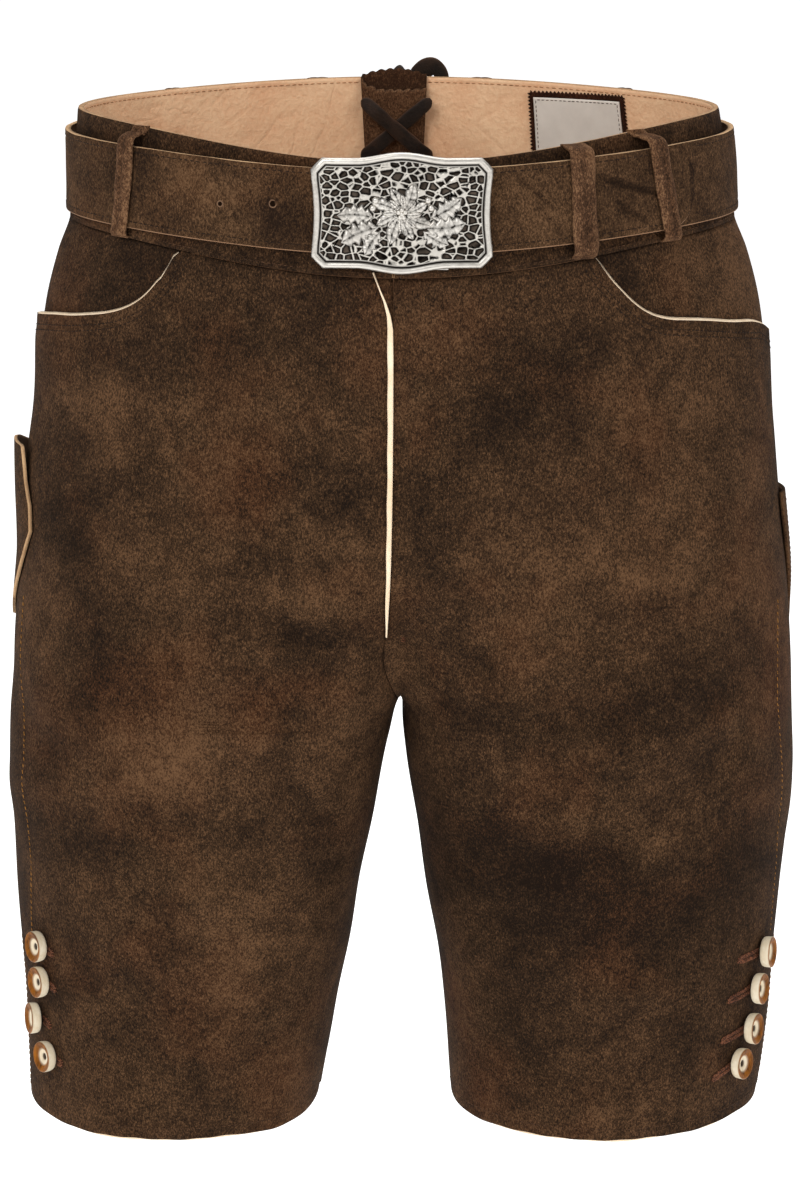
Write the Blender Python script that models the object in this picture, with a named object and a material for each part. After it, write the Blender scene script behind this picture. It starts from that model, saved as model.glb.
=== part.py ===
"""Short lederhosen: worn form with waistband, belt, buckle, pockets, side slits and back lacing.

Metres, +Z up, front towards -Y, the wearer's left towards +X. The origin is the middle of the
waist opening, level with the top of the waistband at the sides.
"""
import math
from collections import namedtuple

import bpy
from mathutils import Vector

MM = 0.001

# ---------------------------------------------------------------- driving sizes (mm)
LEATHER = 1.8               # wall of the panels
SEAM_GAP = 0.3              # clearance between neighbouring pieces
WAISTBAND_HIGH = 60.0
WAISTBAND_WALL = 3.0
WAIST_DIP_FRONT = 16.0      # how far the waist drops at the belly
WAIST_RISE_BACK = 4.0
CROTCH_Z = -325.0
HEM_Z = -572.0
SIDE_SEAM = -0.02           # angle of the side seam round a leg, from the side, to the back

BELT_HIGH = 44.5
BELT_WALL = 3.0
BELT_DROP = 13.0            # belt's top edge below the waist at the sides
BELT_DIP_FRONT = 8.0
BELT_LAP = 3.3              # outer layer's step over the inner one
BELT_TIP = 1.0              # angle of the strap's tip from the centre front
BELT_END = -0.16            # angle of the inner end, hidden by the buckle

BUTTON_WIDE = 17.5
BUTTON_DEEP = 5.8
BUTTON_GAP = 0.65           # from the true curve, as the panel's facets lie a little inside it
SLIT_LONG = 98.0

RIGHT, LEFT = -1, 1         # the wearer's sides

# Horizontal sections of the body, a row a height. Half widths at each side, then how far the
# leg's oval reaches inwards, as a share of the half width (-1 whole body, 0 crotch), the depths,
# and how square the inner half of the oval is (2 is an ellipse).
SECTION_COLUMNS = ("z", "right", "left", "inner_right", "inner_left", "front", "back", "square")
SECTIONS = (
    (20.0, 174.0, 171.0, -1.0, -1.0, 109.0, 106.0, 2.0),
    (0.0, 175.0, 173.0, -1.0, -1.0, 110.0, 108.0, 2.0),
    (-30.0, 177.0, 178.0, -1.0, -1.0, 113.0, 112.0, 2.0),
    (-60.0, 180.0, 182.5, -1.0, -1.0, 116.0, 118.0, 2.0),
    (-80.0, 187.0, 190.0, -1.0, -1.0, 117.5, 123.0, 2.0),
    (-110.0, 195.0, 198.0, -0.97, -0.97, 119.0, 130.0, 2.0),
    (-150.0, 201.0, 204.0, -0.84, -0.84, 119.5, 136.0, 2.0),
    (-200.0, 208.0, 210.0, -0.62, -0.62, 119.0, 138.0, 2.05),
    (-250.0, 212.4, 215.5, -0.36, -0.36, 118.5, 134.0, 2.1),
    (-288.0, 216.4, 218.5, -0.16, -0.16, 117.5, 126.0, 2.35),
    (-312.0, 218.8, 220.3, -0.045, -0.045, 116.0, 119.5, 3.1),
    (-325.0, 219.8, 221.0, 0.0, 0.0, 115.0, 115.5, 3.5),
    (-345.0, 220.6, 222.0, 0.022, 0.006, 112.5, 112.0, 3.7),
    (-370.0, 221.0, 223.0, 0.045, 0.018, 110.0, 109.0, 3.6),
    (-405.0, 220.0, 222.0, 0.073, 0.045, 105.0, 105.0, 3.2),
    (-441.0, 219.0, 218.0, 0.105, 0.069, 100.0, 101.0, 2.9),
    (-478.0, 217.5, 215.0, 0.133, 0.098, 95.0, 97.0, 2.6),
    (-514.0, 216.0, 213.5, 0.167, 0.117, 90.0, 94.0, 2.5),
    (-551.0, 215.0, 209.0, 0.200, 0.137, 87.0, 91.0, 2.4),
    (-572.0, 215.0, 206.0, 0.219, 0.148, 85.5, 89.0, 2.35),
    (-590.0, 215.0, 203.5, 0.230, 0.155, 84.0, 88.0, 2.3),
)

# The largest folds of the leather: side, height, angle round the leg, slope of the fold,
# its half length and half width, and how far it stands out (or in).
Fold = namedtuple("Fold", "side z angle slope long wide deep")
FOLDS = [Fold(*row) for row in (
    (LEFT, -352.0, -1.05, 0.75, 60.0, 13.0, -1.8),
    (LEFT, -322.0, -1.25, 0.65, 62.0, 13.0, 1.6),
    (LEFT, -300.0, -1.70, -0.95, 46.0, 12.0, -1.8),
    (RIGHT, -300.0, -1.72, -0.95, 44.0, 12.0, -1.8),
    (RIGHT, -345.0, -1.35, -0.60, 52.0, 13.0, 1.5),
    (RIGHT, -335.0, -0.55, 0.35, 60.0, 14.0, -1.8),
    (RIGHT, -372.0, -0.50, -0.30, 62.0, 13.0, 1.8),
    (LEFT, -392.0, -0.70, -0.35, 60.0, 14.0, -1.8),
    (LEFT, -470.0, -1.70, -0.20, 60.0, 16.0, 1.5),
    (RIGHT, -480.0, -1.20, 0.25, 60.0, 16.0, -1.5),
    (RIGHT, -290.0, 1.65, 0.95, 60.0, 14.0, -2.6),
    (LEFT, -290.0, 1.65, 0.95, 60.0, 14.0, -2.6),
    (RIGHT, -345.0, 1.25, 0.55, 70.0, 15.0, 2.2),
    (LEFT, -352.0, 1.20, 0.50, 70.0, 15.0, -2.2),
    (RIGHT, -410.0, 1.40, -0.30, 65.0, 16.0, -2.0),
    (LEFT, -420.0, 1.45, -0.30, 65.0, 16.0, 1.8),
)]

# The middle seam of the front wanders a little to the wearer's right, and meets the crotch.
FRONT_SEAM_COLUMNS = ("z", "x")
FRONT_SEAM = ((-60.0, -3.4), (-80.0, -3.4), (-180.0, -3.8), (-255.0, -5.6), (-276.0, -7.6),
              (-291.0, -8.6), (-313.0, -2.7), (-325.0, -0.15))


# ---------------------------------------------------------------- reading the tables
def column(rows, names, name):
    place = names.index(name)
    return [row[place] for row in rows]


def read_smoothly(heights, values, z):
    """The value at height z on a smooth curve through the rows, which run downwards."""
    last = len(heights) - 1
    z = min(max(z, heights[last]), heights[0])
    row = 0
    while row < last - 1 and z < heights[row + 1]:
        row += 1
    before = max(row - 1, 0)
    after = min(row + 2, last)
    run = heights[row + 1] - heights[row]
    share = (z - heights[row]) / run
    slope_in = (values[row + 1] - values[before]) / (heights[row + 1] - heights[before])
    slope_out = (values[after] - values[row]) / (heights[after] - heights[row])
    cube, square = share ** 3, share ** 2
    return ((2 * cube - 3 * square + 1) * values[row]
            + (cube - 2 * square + share) * run * slope_in
            + (3 * square - 2 * cube) * values[row + 1]
            + (cube - square) * run * slope_out)


SECTION_HEIGHTS = column(SECTIONS, SECTION_COLUMNS, "z")
SECTION_VALUES = {name: column(SECTIONS, SECTION_COLUMNS, name) for name in SECTION_COLUMNS[1:]}


def section(side, z):
    """Centre, half width, front and back depth of one side's oval at height z."""
    name = "left" if side == LEFT else "right"
    outer = read_smoothly(SECTION_HEIGHTS, SECTION_VALUES[name], z)
    inner = outer * read_smoothly(SECTION_HEIGHTS, SECTION_VALUES["inner_" + name], z)
    front = read_smoothly(SECTION_HEIGHTS, SECTION_VALUES["front"], z)
    back = read_smoothly(SECTION_HEIGHTS, SECTION_VALUES["back"], z)
    return (outer + inner) / 2, (outer - inner) / 2, front, back


def squareness(z):
    return read_smoothly(SECTION_HEIGHTS, SECTION_VALUES["square"], z)


def smooth_step(value):
    value = min(max(value, 0.0), 1.0)
    return value * value * (3 - 2 * value)


# ---------------------------------------------------------------- the worn surface
def inner_angle(side, z):
    """Angle at which the oval meets the middle plane, or the inseam below the crotch."""
    return -front_angle(side, 0.0, z)


def front_angle(side, x, z):
    """Angle on the front of the oval that lies x mm from the middle plane."""
    centre, half, _, _ = section(side, z)
    share = min(max((x - centre) / half, -1.0), 1.0)
    if share < 0:
        return -math.acos(-(-share) ** (squareness(z) / 2))
    return -math.acos(share)


def fold_height(side, angle, z):
    """How far the folds lift the leather at one place."""
    _, half, _, _ = section(side, z)
    lift = 0.0
    for fold in FOLDS:
        if fold.side != side:
            continue
        across_leg = (angle - fold.angle) * half
        up = z - fold.z
        turn = math.atan(fold.slope)
        along = across_leg * math.cos(turn) + up * math.sin(turn)
        across = up * math.cos(turn) - across_leg * math.sin(turn)
        lift += fold.deep * math.exp(-(along / fold.long) ** 2 - (across / fold.wide) ** 2)
    return lift


def oval_point(side, angle, z):
    centre, half, front, back = section(side, z)
    depth = front if angle < 0 else back
    across, deep = math.cos(angle), math.sin(angle)
    if across < 0:
        power = 2 / squareness(z)
        across = -(-across) ** power
        deep = math.copysign(abs(deep) ** power, deep)
    return Vector((side * (centre + half * across), depth * deep, z))


def oval_normal(side, angle, z):
    turn = oval_point(side, angle + 0.01, z) - oval_point(side, angle - 0.01, z)
    rise = oval_point(side, angle, z + 1.0) - oval_point(side, angle, z - 1.0)
    return (turn.cross(rise) * side).normalized()


def skin(side, angle, z, out=0.0):
    """A point of the leather's outer face, moved out along its normal, in mm."""
    normal = oval_normal(side, angle, z)
    fade = smooth_step((-z - 70.0) / 40.0)
    lift = out + fade * fold_height(side, angle, z)
    return oval_point(side, angle, z) + normal * lift


def skin_round(turn, z, out=0.0):
    """The same, by the angle from the centre front: positive towards the wearer's left."""
    turn = (turn + math.pi) % (2 * math.pi) - math.pi
    side = LEFT if turn >= 0 else RIGHT
    angle = abs(turn) - math.pi / 2
    return oval_point(side, angle, z) + oval_normal(side, angle, z) * out


def waist_top(angle):
    """Height of the waistband's top edge at an angle round the body."""
    swing = math.sin(angle) ** 4
    return -1.5 - (WAIST_DIP_FRONT if angle < 0 else -WAIST_RISE_BACK) * swing


def waist_seam(angle):
    return waist_top(angle) - WAISTBAND_HIGH


# ---------------------------------------------------------------- solids from grids
def paint(name, colour, rough, metal):
    material = bpy.data.materials.new(name)
    material.use_nodes = True
    shader = material.node_tree.nodes["Principled BSDF"]
    shader.inputs["Base Color"].default_value = (*colour, 1.0)
    shader.inputs["Roughness"].default_value = rough
    shader.inputs["Metallic"].default_value = metal
    return material


def new_solid(name, points, faces, material):
    mesh = bpy.data.meshes.new(name)
    mesh.from_pydata([Vector(point) * MM for point in points], [], faces)
    mesh.validate()
    mesh.materials.append(material)
    solid = bpy.data.objects.new(name, mesh)
    bpy.context.scene.collection.objects.link(solid)
    for polygon in mesh.polygons:
        polygon.use_smooth = True
    mesh.set_sharp_from_angle(angle=math.radians(50))
    face_out(mesh)
    return solid


def signed_volume(mesh):
    total = 0.0
    for polygon in mesh.polygons:
        corners = [mesh.vertices[index].co for index in polygon.vertices]
        for second, third in zip(corners[1:], corners[2:]):
            total += corners[0].dot(second.cross(third))
    return total


def face_out(mesh):
    if signed_volume(mesh) < 0:
        mesh.flip_normals()


def wall_solid(name, outer, inner, material):
    """Closes two grids of points, rows by columns, into one wall."""
    rows, columns = len(outer), len(outer[0])
    points = [point for row in outer for point in row] + [point for row in inner for point in row]
    under = rows * columns
    faces = []
    for row in range(rows - 1):
        for place in range(columns - 1):
            corner = row * columns + place
            quad = (corner, corner + 1, corner + columns + 1, corner + columns)
            faces.append(quad)
            faces.append(tuple(index + under for index in reversed(quad)))
    rim = [place for place in range(columns)]
    rim += [row * columns + columns - 1 for row in range(1, rows)]
    rim += [(rows - 1) * columns + place for place in range(columns - 2, -1, -1)]
    rim += [row * columns for row in range(rows - 2, 0, -1)]
    for first, second in zip(rim, rim[1:] + rim[:1]):
        faces.append((second, first, first + under, second + under))
    return new_solid(name, points, faces, material)


def skin_wall(name, side, rows, columns, place, out, wall, material):
    """A wall on the worn surface. place(u, v) gives angle and height, out(angle, z) the lift."""
    outer, inner = [], []
    for row in range(rows):
        down = row / (rows - 1)
        spots = [place(step / (columns - 1), down) for step in range(columns)]
        outer.append([skin(side, angle, z, out(angle, z)) for angle, z in spots])
        inner.append([skin(side, angle, z, out(angle, z) - wall) for angle, z in spots])
    return wall_solid(name, outer, inner, material)


# ---------------------------------------------------------------- front and back panels
SEAM_STEP = SEAM_GAP / 2 / 100.0    # half the seam's gap as an angle
PANEL_ROWS = 27
PANEL_COLUMNS = 15
CROTCH_ROW = 15             # row of the grid that meets the crotch
MOUTH_LIFT = 3.4            # how far the pocket mouth stands out at the side seam
# each hip pocket's mouth: angle round the hip, and its drop from the waistband's seam
SCOOP = {
    RIGHT: ((-0.865, 0.0), (-0.852, 5.5), (-0.838, 12.0), (-0.81, 20.6), (-0.78, 26.8),
            (-0.75, 30.8), (-0.72, 33.9), (-0.67, 37.4), (-0.61, 40.2), (-0.46, 44.9),
            (-0.25, 48.6), (0.0, 51.0)),
    LEFT: ((-0.972, 0.0), (-0.96, 6.6), (-0.94, 12.9), (-0.91, 20.7), (-0.89, 26.0),
           (-0.86, 31.0), (-0.82, 35.0), (-0.78, 38.3), (-0.61, 43.6), (-0.47, 48.2),
           (-0.26, 52.4), (0.0, 55.0)),
}
CORNER_DROP = {RIGHT: 0.0, LEFT: 10.0}         # how far its outer corner is rounded off
FACING_LAP = 20.0           # how far the facing goes down behind the front
FACING_LOW = -135.0
INNER_GAP = 0.9             # clearance of a flat piece behind a panel's wider facets


def crotch_heights(side, start, facing_front):
    """Heights of the panel's inner edge, evenly spaced along its curve down to the crotch."""
    steps = 160
    heights = [start + (CROTCH_Z - start) * step / steps for step in range(steps + 1)]
    sign = -1 if facing_front else 1
    edge = [oval_point(side, sign * inner_angle(side, z), z) for z in heights]
    runs = [0.0]
    for first, second in zip(edge, edge[1:]):
        runs.append(runs[-1] + (second - first).length)
    picked = []
    for row in range(CROTCH_ROW + 1):
        target = runs[-1] * row / CROTCH_ROW
        place = min(range(steps + 1), key=lambda index: abs(runs[index] - target))
        picked.append(heights[place])
    picked[0], picked[-1] = start, CROTCH_Z
    for row in range(1, PANEL_ROWS - CROTCH_ROW):
        picked.append(CROTCH_Z + (HEM_Z - CROTCH_Z) * row / (PANEL_ROWS - 1 - CROTCH_ROW))
    return picked


def scoop_drop(side, angle):
    """How far a pocket mouth's edge lies below the waistband's seam."""
    rows = SCOOP[side]
    for (near, shallow), (far, deep) in zip(rows, rows[1:]):
        if angle < far:
            return shallow + (deep - shallow) * max(0.0, (angle - near) / (far - near))
    return rows[-1][1]


def scoop_top(side, angle):
    """Top edge of the front panel: the waistband's seam, then the hip pocket's mouth."""
    corner = CORNER_DROP[side] * max(0.0, (angle + 0.26) / 0.24) ** 2
    return waist_seam(angle) - SEAM_GAP - scoop_drop(side, angle) - corner


def back_top(side, angle):
    return waist_seam(angle) - SEAM_GAP


def mouth_lift(angle, z):
    """The front stands a little off the hip at the outer end of the pocket mouth."""
    near_side = smooth_step((angle + 1.0) / 0.9)
    near_mouth = 1 - smooth_step((-115.0 - z) / 60.0)
    return MOUTH_LIFT * near_side * near_mouth


def no_lift(angle, z):
    return 0.0


def front_seam(z):
    """Where the two fronts meet, left or right of the middle plane."""
    heights = column(FRONT_SEAM, FRONT_SEAM_COLUMNS, "z")
    return read_smoothly(heights, column(FRONT_SEAM, FRONT_SEAM_COLUMNS, "x"), z)


def panel_spot(side, facing_front, rows, top_of, row, along):
    """Angle and height of one grid point: rows follow the crotch curve at their inner end."""
    sign = -1 if facing_front else 1
    side_angle = SIDE_SEAM + sign * SEAM_STEP
    start, side_top = rows[0], top_of(side, side_angle)
    side_z = rows[row] if row > CROTCH_ROW else side_top + (CROTCH_Z - side_top) * row / CROTCH_ROW
    blend = smooth_step(along)
    z = rows[row] + (side_z - rows[row]) * blend
    middle = inner_angle(side, z) - SEAM_STEP
    if facing_front and z > CROTCH_Z:
        middle = -front_angle(side, max(side * front_seam(z), 0.0) + SEAM_GAP / 2, z)
    angle = sign * middle + (side_angle - sign * middle) * along
    drop = 1 - min(row / CROTCH_ROW, 1.0)
    z += (top_of(side, angle) - (start + (side_top - start) * blend)) * drop ** 2
    return angle, z


def keep_side(point, side, limit):
    """Keeps a panel on its own side of the seam between left and right."""
    if side * point.x < limit:
        point.x = side * limit
    return point


def panel(name, side, facing_front, top_of, lift, material):
    sign = -1 if facing_front else 1
    start = waist_seam(sign * math.pi / 2) - SEAM_GAP
    rows = crotch_heights(side, start, facing_front)
    outer, inner = [], []
    for row in range(PANEL_ROWS):
        outer_row, inner_row = [], []
        for step in range(PANEL_COLUMNS):
            along = step / (PANEL_COLUMNS - 1)
            angle, z = panel_spot(side, facing_front, rows, top_of, row, along)
            stand = lift(angle, z)
            limit = SEAM_GAP / 2
            if facing_front and row < CROTCH_ROW:
                limit += side * front_seam(z)
            if facing_front and side == LEFT and step == 0 and row < CROTCH_ROW:
                lap = front_angle(RIGHT, -limit, z)
                outer_row.append(skin(RIGHT, lap, z, stand))
                inner_row.append(keep_side(skin(RIGHT, lap, z, stand - LEATHER), side, limit))
                continue
            outer_row.append(keep_side(skin(side, angle, z, stand), side, limit))
            inner_row.append(keep_side(skin(side, angle, z, stand - LEATHER), side, limit))
        outer.append(outer_row)
        inner.append(inner_row)
    return wall_solid(name, outer, inner, material)


def make_panels(suede):
    for side, word in ((RIGHT, "right"), (LEFT, "left")):
        panel("front_panel_" + word, side, True, scoop_top, mouth_lift, suede)
        panel("back_panel_" + word, side, False, back_top, no_lift, suede)


# ---------------------------------------------------------------- hip pocket facings
def make_hip_facings(suede):
    """The hip piece that shows in the mouth of each pocket and goes down behind the front."""
    for side, word in ((RIGHT, "right"), (LEFT, "left")):
        start = SCOOP[side][0][0] - 0.05
        stop = SIDE_SEAM - SEAM_GAP / 2 / 100.0

        def place(along, down, side=side, start=start, stop=stop):
            angle = start + (stop - start) * along
            top = waist_seam(angle) - SEAM_GAP
            low = max(scoop_top(side, angle) - FACING_LAP, FACING_LOW)
            return angle, top + (low - top) * down

        def lift(angle, z):
            return -(LEATHER + INNER_GAP) * (1 - smooth_step((angle + 0.95) / 0.95))

        skin_wall("hip_facing_" + word, side, 6, 11, place, lift, 1.6, suede)


# ---------------------------------------------------------------- waistband
VENT_HALF = 14.0            # half width of the open vent at the centre back, at the top
VENT_LOW = 5.0              # and at the waistband's seam
WAISTBAND_COLUMNS = 30


def make_waistband(suede):
    """Two lined halves that meet at the fly and stop short of each other at the back vent."""
    for side, word in ((RIGHT, "right"), (LEFT, "left")):
        outer, inner = [], []
        for share_down in (0.0, 0.33, 0.67, 1.0):
            first = side * front_seam(-60.0) / 175.0 + SEAM_GAP / 350.0
            vent = VENT_HALF + (VENT_LOW - VENT_HALF) * share_down
            last = math.pi - vent / 175.0
            outer_row, inner_row = [], []
            for step in range(WAISTBAND_COLUMNS):
                turn = first + (last - first) * step / (WAISTBAND_COLUMNS - 1)
                angle = abs(turn) - math.pi / 2
                z = waist_top(angle) - WAISTBAND_HIGH * share_down
                outer_row.append(skin_round(side * turn, z))
                inner_row.append(skin_round(side * turn, z, -WAISTBAND_WALL))
            outer.append(outer_row)
            inner.append(inner_row)
        wall_solid("waistband_" + word, outer, inner, suede)


# ---------------------------------------------------------------- belt
BELT_COLUMNS = 84


def belt_top(turn):
    angle = abs((turn + math.pi) % (2 * math.pi) - math.pi) - math.pi / 2
    dip = BELT_DIP_FRONT if angle < 0 else 0.0
    return -BELT_DROP - dip * math.sin(angle) ** 4


def belt_stand(down):
    """The belt hangs upright, so it stands further off the waistband at its top."""
    return 0.6 + 3.0 * (1 - down)


def belt_layer(turn):
    """Step of the outer layer over the inner one, from the tip to left of the buckle."""
    return BELT_LAP * smooth_step((turn + 0.62) / 0.40)


def make_belt(suede):
    """One strip round the waist: it laps over its own buckle end and ends in a round tip."""
    start, stop = BELT_TIP, BELT_END - 2 * math.pi
    outer, inner = [], []
    tip_long = BELT_HIGH / 2 / 150.0
    for share_down in (0.0, 0.04, 0.5, 0.96, 1.0):
        outer_row, inner_row = [], []
        edge = share_down in (0.0, 1.0)
        for step in range(BELT_COLUMNS):
            share = step / (BELT_COLUMNS - 1)
            turn = start + (stop - start) * share
            past_tip = max(0.0, 1 - (start - turn) / tip_long)
            narrow = math.sqrt(max(1 - past_tip ** 2.4, 0.12))
            down = 0.5 + (share_down - 0.5) * narrow
            z = belt_top(turn) - BELT_HIGH * down
            stand = belt_stand(down) + belt_layer(turn)
            soft = 0.5 if edge else 0.0
            outer_row.append(skin_round(turn, z, stand + BELT_WALL - soft))
            inner_row.append(skin_round(turn, z, stand + soft))
        outer.append(outer_row)
        inner.append(inner_row)
    return wall_solid("belt_strap", outer, inner, suede)


# ---------------------------------------------------------------- belt loops
LOOP_WIDE = 11.0
LOOP_WALL = 3.0
LOOP_SECTION = ((-1.0, 0.35), (-0.6, 0.85), (0.0, 1.0), (0.6, 0.85), (1.0, 0.35))
BeltLoop = namedtuple("BeltLoop", "name side top_angle low_angle lap")
LOOPS = [BeltLoop(*row) for row in (
    ("belt_loop_front_right", RIGHT, -0.68, -0.61, 0.0),
    ("belt_loop_front_left", LEFT, -1.03, -1.03, 1.0),
    ("belt_loop_side_left", LEFT, -0.78, -0.68, 1.0),
    ("belt_loop_back_right", RIGHT, 0.75, 0.75, 0.0),
    ("belt_loop_back_left", LEFT, 0.75, 0.75, 0.0),
    ("belt_loop_vent_right", RIGHT, 1.30, 1.30, 0.0),
    ("belt_loop_vent_left", LEFT, 1.30, 1.30, 0.0),
)]


def belt_face(side, angle, z):
    """How far the belt's outer face stands off the waistband here."""
    turn = side * (angle + math.pi / 2)
    down = (belt_top(turn) - z) / BELT_HIGH
    return belt_stand(min(max(down, 0.0), 1.0)) + BELT_WALL


def loop_path(side, angle, lap):
    """Inner face of a loop from top to bottom: distance off the waistband, and height."""
    top = belt_top(side * (angle + math.pi / 2))
    low = top - BELT_HIGH
    seam = waist_seam(angle) + 0.4
    start = waist_top(angle) - 0.6
    bend = min(top + 5.0, start - 2.2)
    heights = (start, bend, (bend + top + 1.2) / 2, top + 1.2, top - 12.0,
               top - BELT_HIGH / 2, low + 12.0, low - 0.9, (low - 0.9 + seam) / 2, seam)
    shares = (0.0, 0.0, 0.5, 1.0, 1.0, 1.0, 1.0, 1.0, 0.55, 0.0)
    path = []
    for z, share in zip(heights, shares):
        over = belt_face(side, angle, z) + BELT_LAP * lap + 2 * SEAM_GAP
        path.append((SEAM_GAP + (over - SEAM_GAP) * share, z))
    return path


def beside(path, distance):
    """The same path moved outwards by a distance, less at its skived ends."""
    moved = []
    last = len(path) - 1
    for place, (out, z) in enumerate(path):
        before = path[max(place - 1, 0)]
        after = path[min(place + 1, last)]
        run = Vector((after[0] - before[0], after[1] - before[1])).normalized()
        thick = distance * (0.35 if place in (0, last) else 1.0)
        moved.append((max(out - run.y * thick, 2 * SEAM_GAP), z + run.x * thick))
    return moved


def make_belt_loops(suede):
    """Rounded strips stitched to the waistband's top and seam, with the belt passed through."""
    half = LOOP_WIDE / 2 / 150.0
    for loop in LOOPS:
        columns = []
        for across, share in LOOP_SECTION:
            near = loop_path(loop.side, (loop.top_angle + loop.low_angle) / 2 + half * across,
                             loop.lap)
            columns.append((across, near, beside(near, LOOP_WALL * share)))
        outer, inner = [], []
        last = len(columns[0][1]) - 1
        for station in range(last + 1):
            middle = loop.top_angle + (loop.low_angle - loop.top_angle) * station / last
            outer_row, inner_row = [], []
            for across, near, far in columns:
                turn = loop.side * (middle + half * across + math.pi / 2)
                inner_row.append(skin_round(turn, near[station][1], near[station][0]))
                outer_row.append(skin_round(turn, far[station][1], far[station][0]))
            outer.append(outer_row)
            inner.append(inner_row)
        wall_solid(loop.name, outer, inner, suede)


# ---------------------------------------------------------------- buckle
BUCKLE_HALF_WIDE = 47.0
BUCKLE_HALF_HIGH = 28.5
BUCKLE_CROWN = 3.0          # swell of the top and bottom edges at the middle
BUCKLE_WAIST = 1.6          # how far the short sides curve in
BUCKLE_CHAMFER = 6.0
BUCKLE_RIM = 3.6
BUCKLE_WALL = 2.4
BUCKLE_RECESS = 1.2
BUCKLE_CENTRE = (1.0, -42.5)
BUCKLE_BEND = 420.0         # radius of the plate's curve round the belly
BUCKLE_STAND = 2.4          # from the strap's outer face to the plate's back


def buckle_outline(inset):
    """One quarter of the plate's edge, mirrored to four: crown, chamfer, hollow side."""
    wide = BUCKLE_HALF_WIDE - inset
    high = BUCKLE_HALF_HIGH - inset
    cut = BUCKLE_CHAMFER - inset * 0.5
    quarter = []
    for share in (0.0, 0.18, 0.36, 0.55, 0.78):
        crown = BUCKLE_CROWN * math.cos(min(share / 0.6, 1.0) * math.pi / 2) ** 2
        quarter.append((share * (wide - cut), high + crown))
    quarter.append((wide - cut, high + 0.1))
    quarter.append((wide - 0.1, high - cut))
    quarter.append((wide - 0.3, high - cut - 4.0))
    quarter.append((wide - BUCKLE_WAIST * 0.8, high * 0.3))
    quarter.append((wide - BUCKLE_WAIST, 0.0))
    right_low = [(x, -z) for x, z in reversed(quarter[:-1])]
    left_low = [(-x, -z) for x, z in quarter[1:]]
    left_high = [(-x, z) for x, z in reversed(quarter[1:-1])]
    return quarter + right_low + left_low + left_high


def buckle_face():
    """Where the plate's back lies at its middle: in front of both belt layers."""
    turn = 0.0
    low = belt_face(LEFT, -math.pi / 2, BUCKLE_CENTRE[1]) + BELT_LAP + BUCKLE_STAND
    return skin_round(turn, BUCKLE_CENTRE[1], low).y


def buckle_ring(inset, out):
    ring = []
    face = buckle_face()
    for x, z in buckle_outline(inset):
        bend = x * x / (2 * BUCKLE_BEND)
        ring.append((BUCKLE_CENTRE[0] + x, face - out + bend, BUCKLE_CENTRE[1] + z))
    return ring


def rings_solid(name, rings, material):
    """Closes a stack of rings of equal length with a fan of faces at both ends."""
    count = len(rings[0])
    points = [point for ring in rings for point in ring]
    faces = []
    for level in range(len(rings) - 1):
        for place in range(count):
            first = level * count + place
            second = level * count + (place + 1) % count
            faces.append((first, second, second + count, first + count))
    for level in (0, len(rings) - 1):
        ring = rings[level]
        middle = [sum(point[axis] for point in ring) / count for axis in range(3)]
        points.append(tuple(middle))
        hub = len(points) - 1
        for place in range(count):
            pair = (level * count + place, level * count + (place + 1) % count)
            faces.append((pair[1], pair[0], hub) if level == 0 else (pair[0], pair[1], hub))
    return new_solid(name, points, faces, material)


def make_buckle(silver):
    """Cast plate with a raised bevelled rim round a sunk ground, and its loop behind."""
    high = BUCKLE_WALL + BUCKLE_RECESS
    rings = [
        buckle_ring(1.0, 0.0),
        buckle_ring(0.0, 0.8),
        buckle_ring(0.0, high - 1.2),
        buckle_ring(0.9, high),
        buckle_ring(BUCKLE_RIM - 0.6, high),
        buckle_ring(BUCKLE_RIM, BUCKLE_WALL),
    ]
    rings_solid("buckle_plate", rings, silver)
    make_buckle_bar(silver)


def make_buckle_bar(silver):
    """The hook block cast on the plate's back, just below the strap."""
    face = buckle_face()
    low = BUCKLE_CENTRE[1] - BUCKLE_HALF_HIGH - 1.2
    rings = []
    for depth in (SEAM_GAP, SEAM_GAP + 1.5, SEAM_GAP + 3.4):
        soft = 0.5 if depth > SEAM_GAP + 2 else 0.0
        ring = []
        for x, z in ((14.0 + soft, low + 5.0), (25.0 - soft, low + 5.0),
                     (25.0 - soft, low + soft), (14.0 + soft, low + soft)):
            ring.append((x, face + depth + 1.3, z))
        rings.append(ring)
    rings_solid("buckle_hook", rings, silver)


# ---------------------------------------------------------------- fly
# height, then the right and the left edge from the middle plane, in mm
FLY_EDGE = ((-74.6, -14.4, -13.2), (-79.0, -12.8, -11.6), (-84.0, -10.8, -8.6),
            (-90.0, -8.6, -4.4), (-97.0, -6.8, -3.5), (-120.0, -6.5, -3.4), (-150.0, -6.6, -3.6),
            (-180.0, -6.8, -3.9), (-205.0, -7.2, -4.4), (-230.0, -7.7, -5.1),
            (-250.0, -8.1, -6.0), (-264.0, -8.4, -6.9), (-274.0, -8.3, -7.6))


def make_fly_edge(edge):
    """Cut edge of the lapping front, a narrow bright strip that tapers to the bottom."""
    outer, inner = [], []
    for z, right, left in FLY_EDGE:
        outer_row, inner_row = [], []
        for x, thick in ((right, 1.3), ((right + left) / 2, 1.8), (left, 1.5)):
            angle = front_angle(RIGHT, -x, z)
            outer_row.append(skin(RIGHT, angle, z, SEAM_GAP + thick))
            inner_row.append(skin(RIGHT, angle, z, SEAM_GAP))
        outer.append(outer_row)
        inner.append(inner_row)
    return wall_solid("fly_edge", outer, inner, edge)


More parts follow.
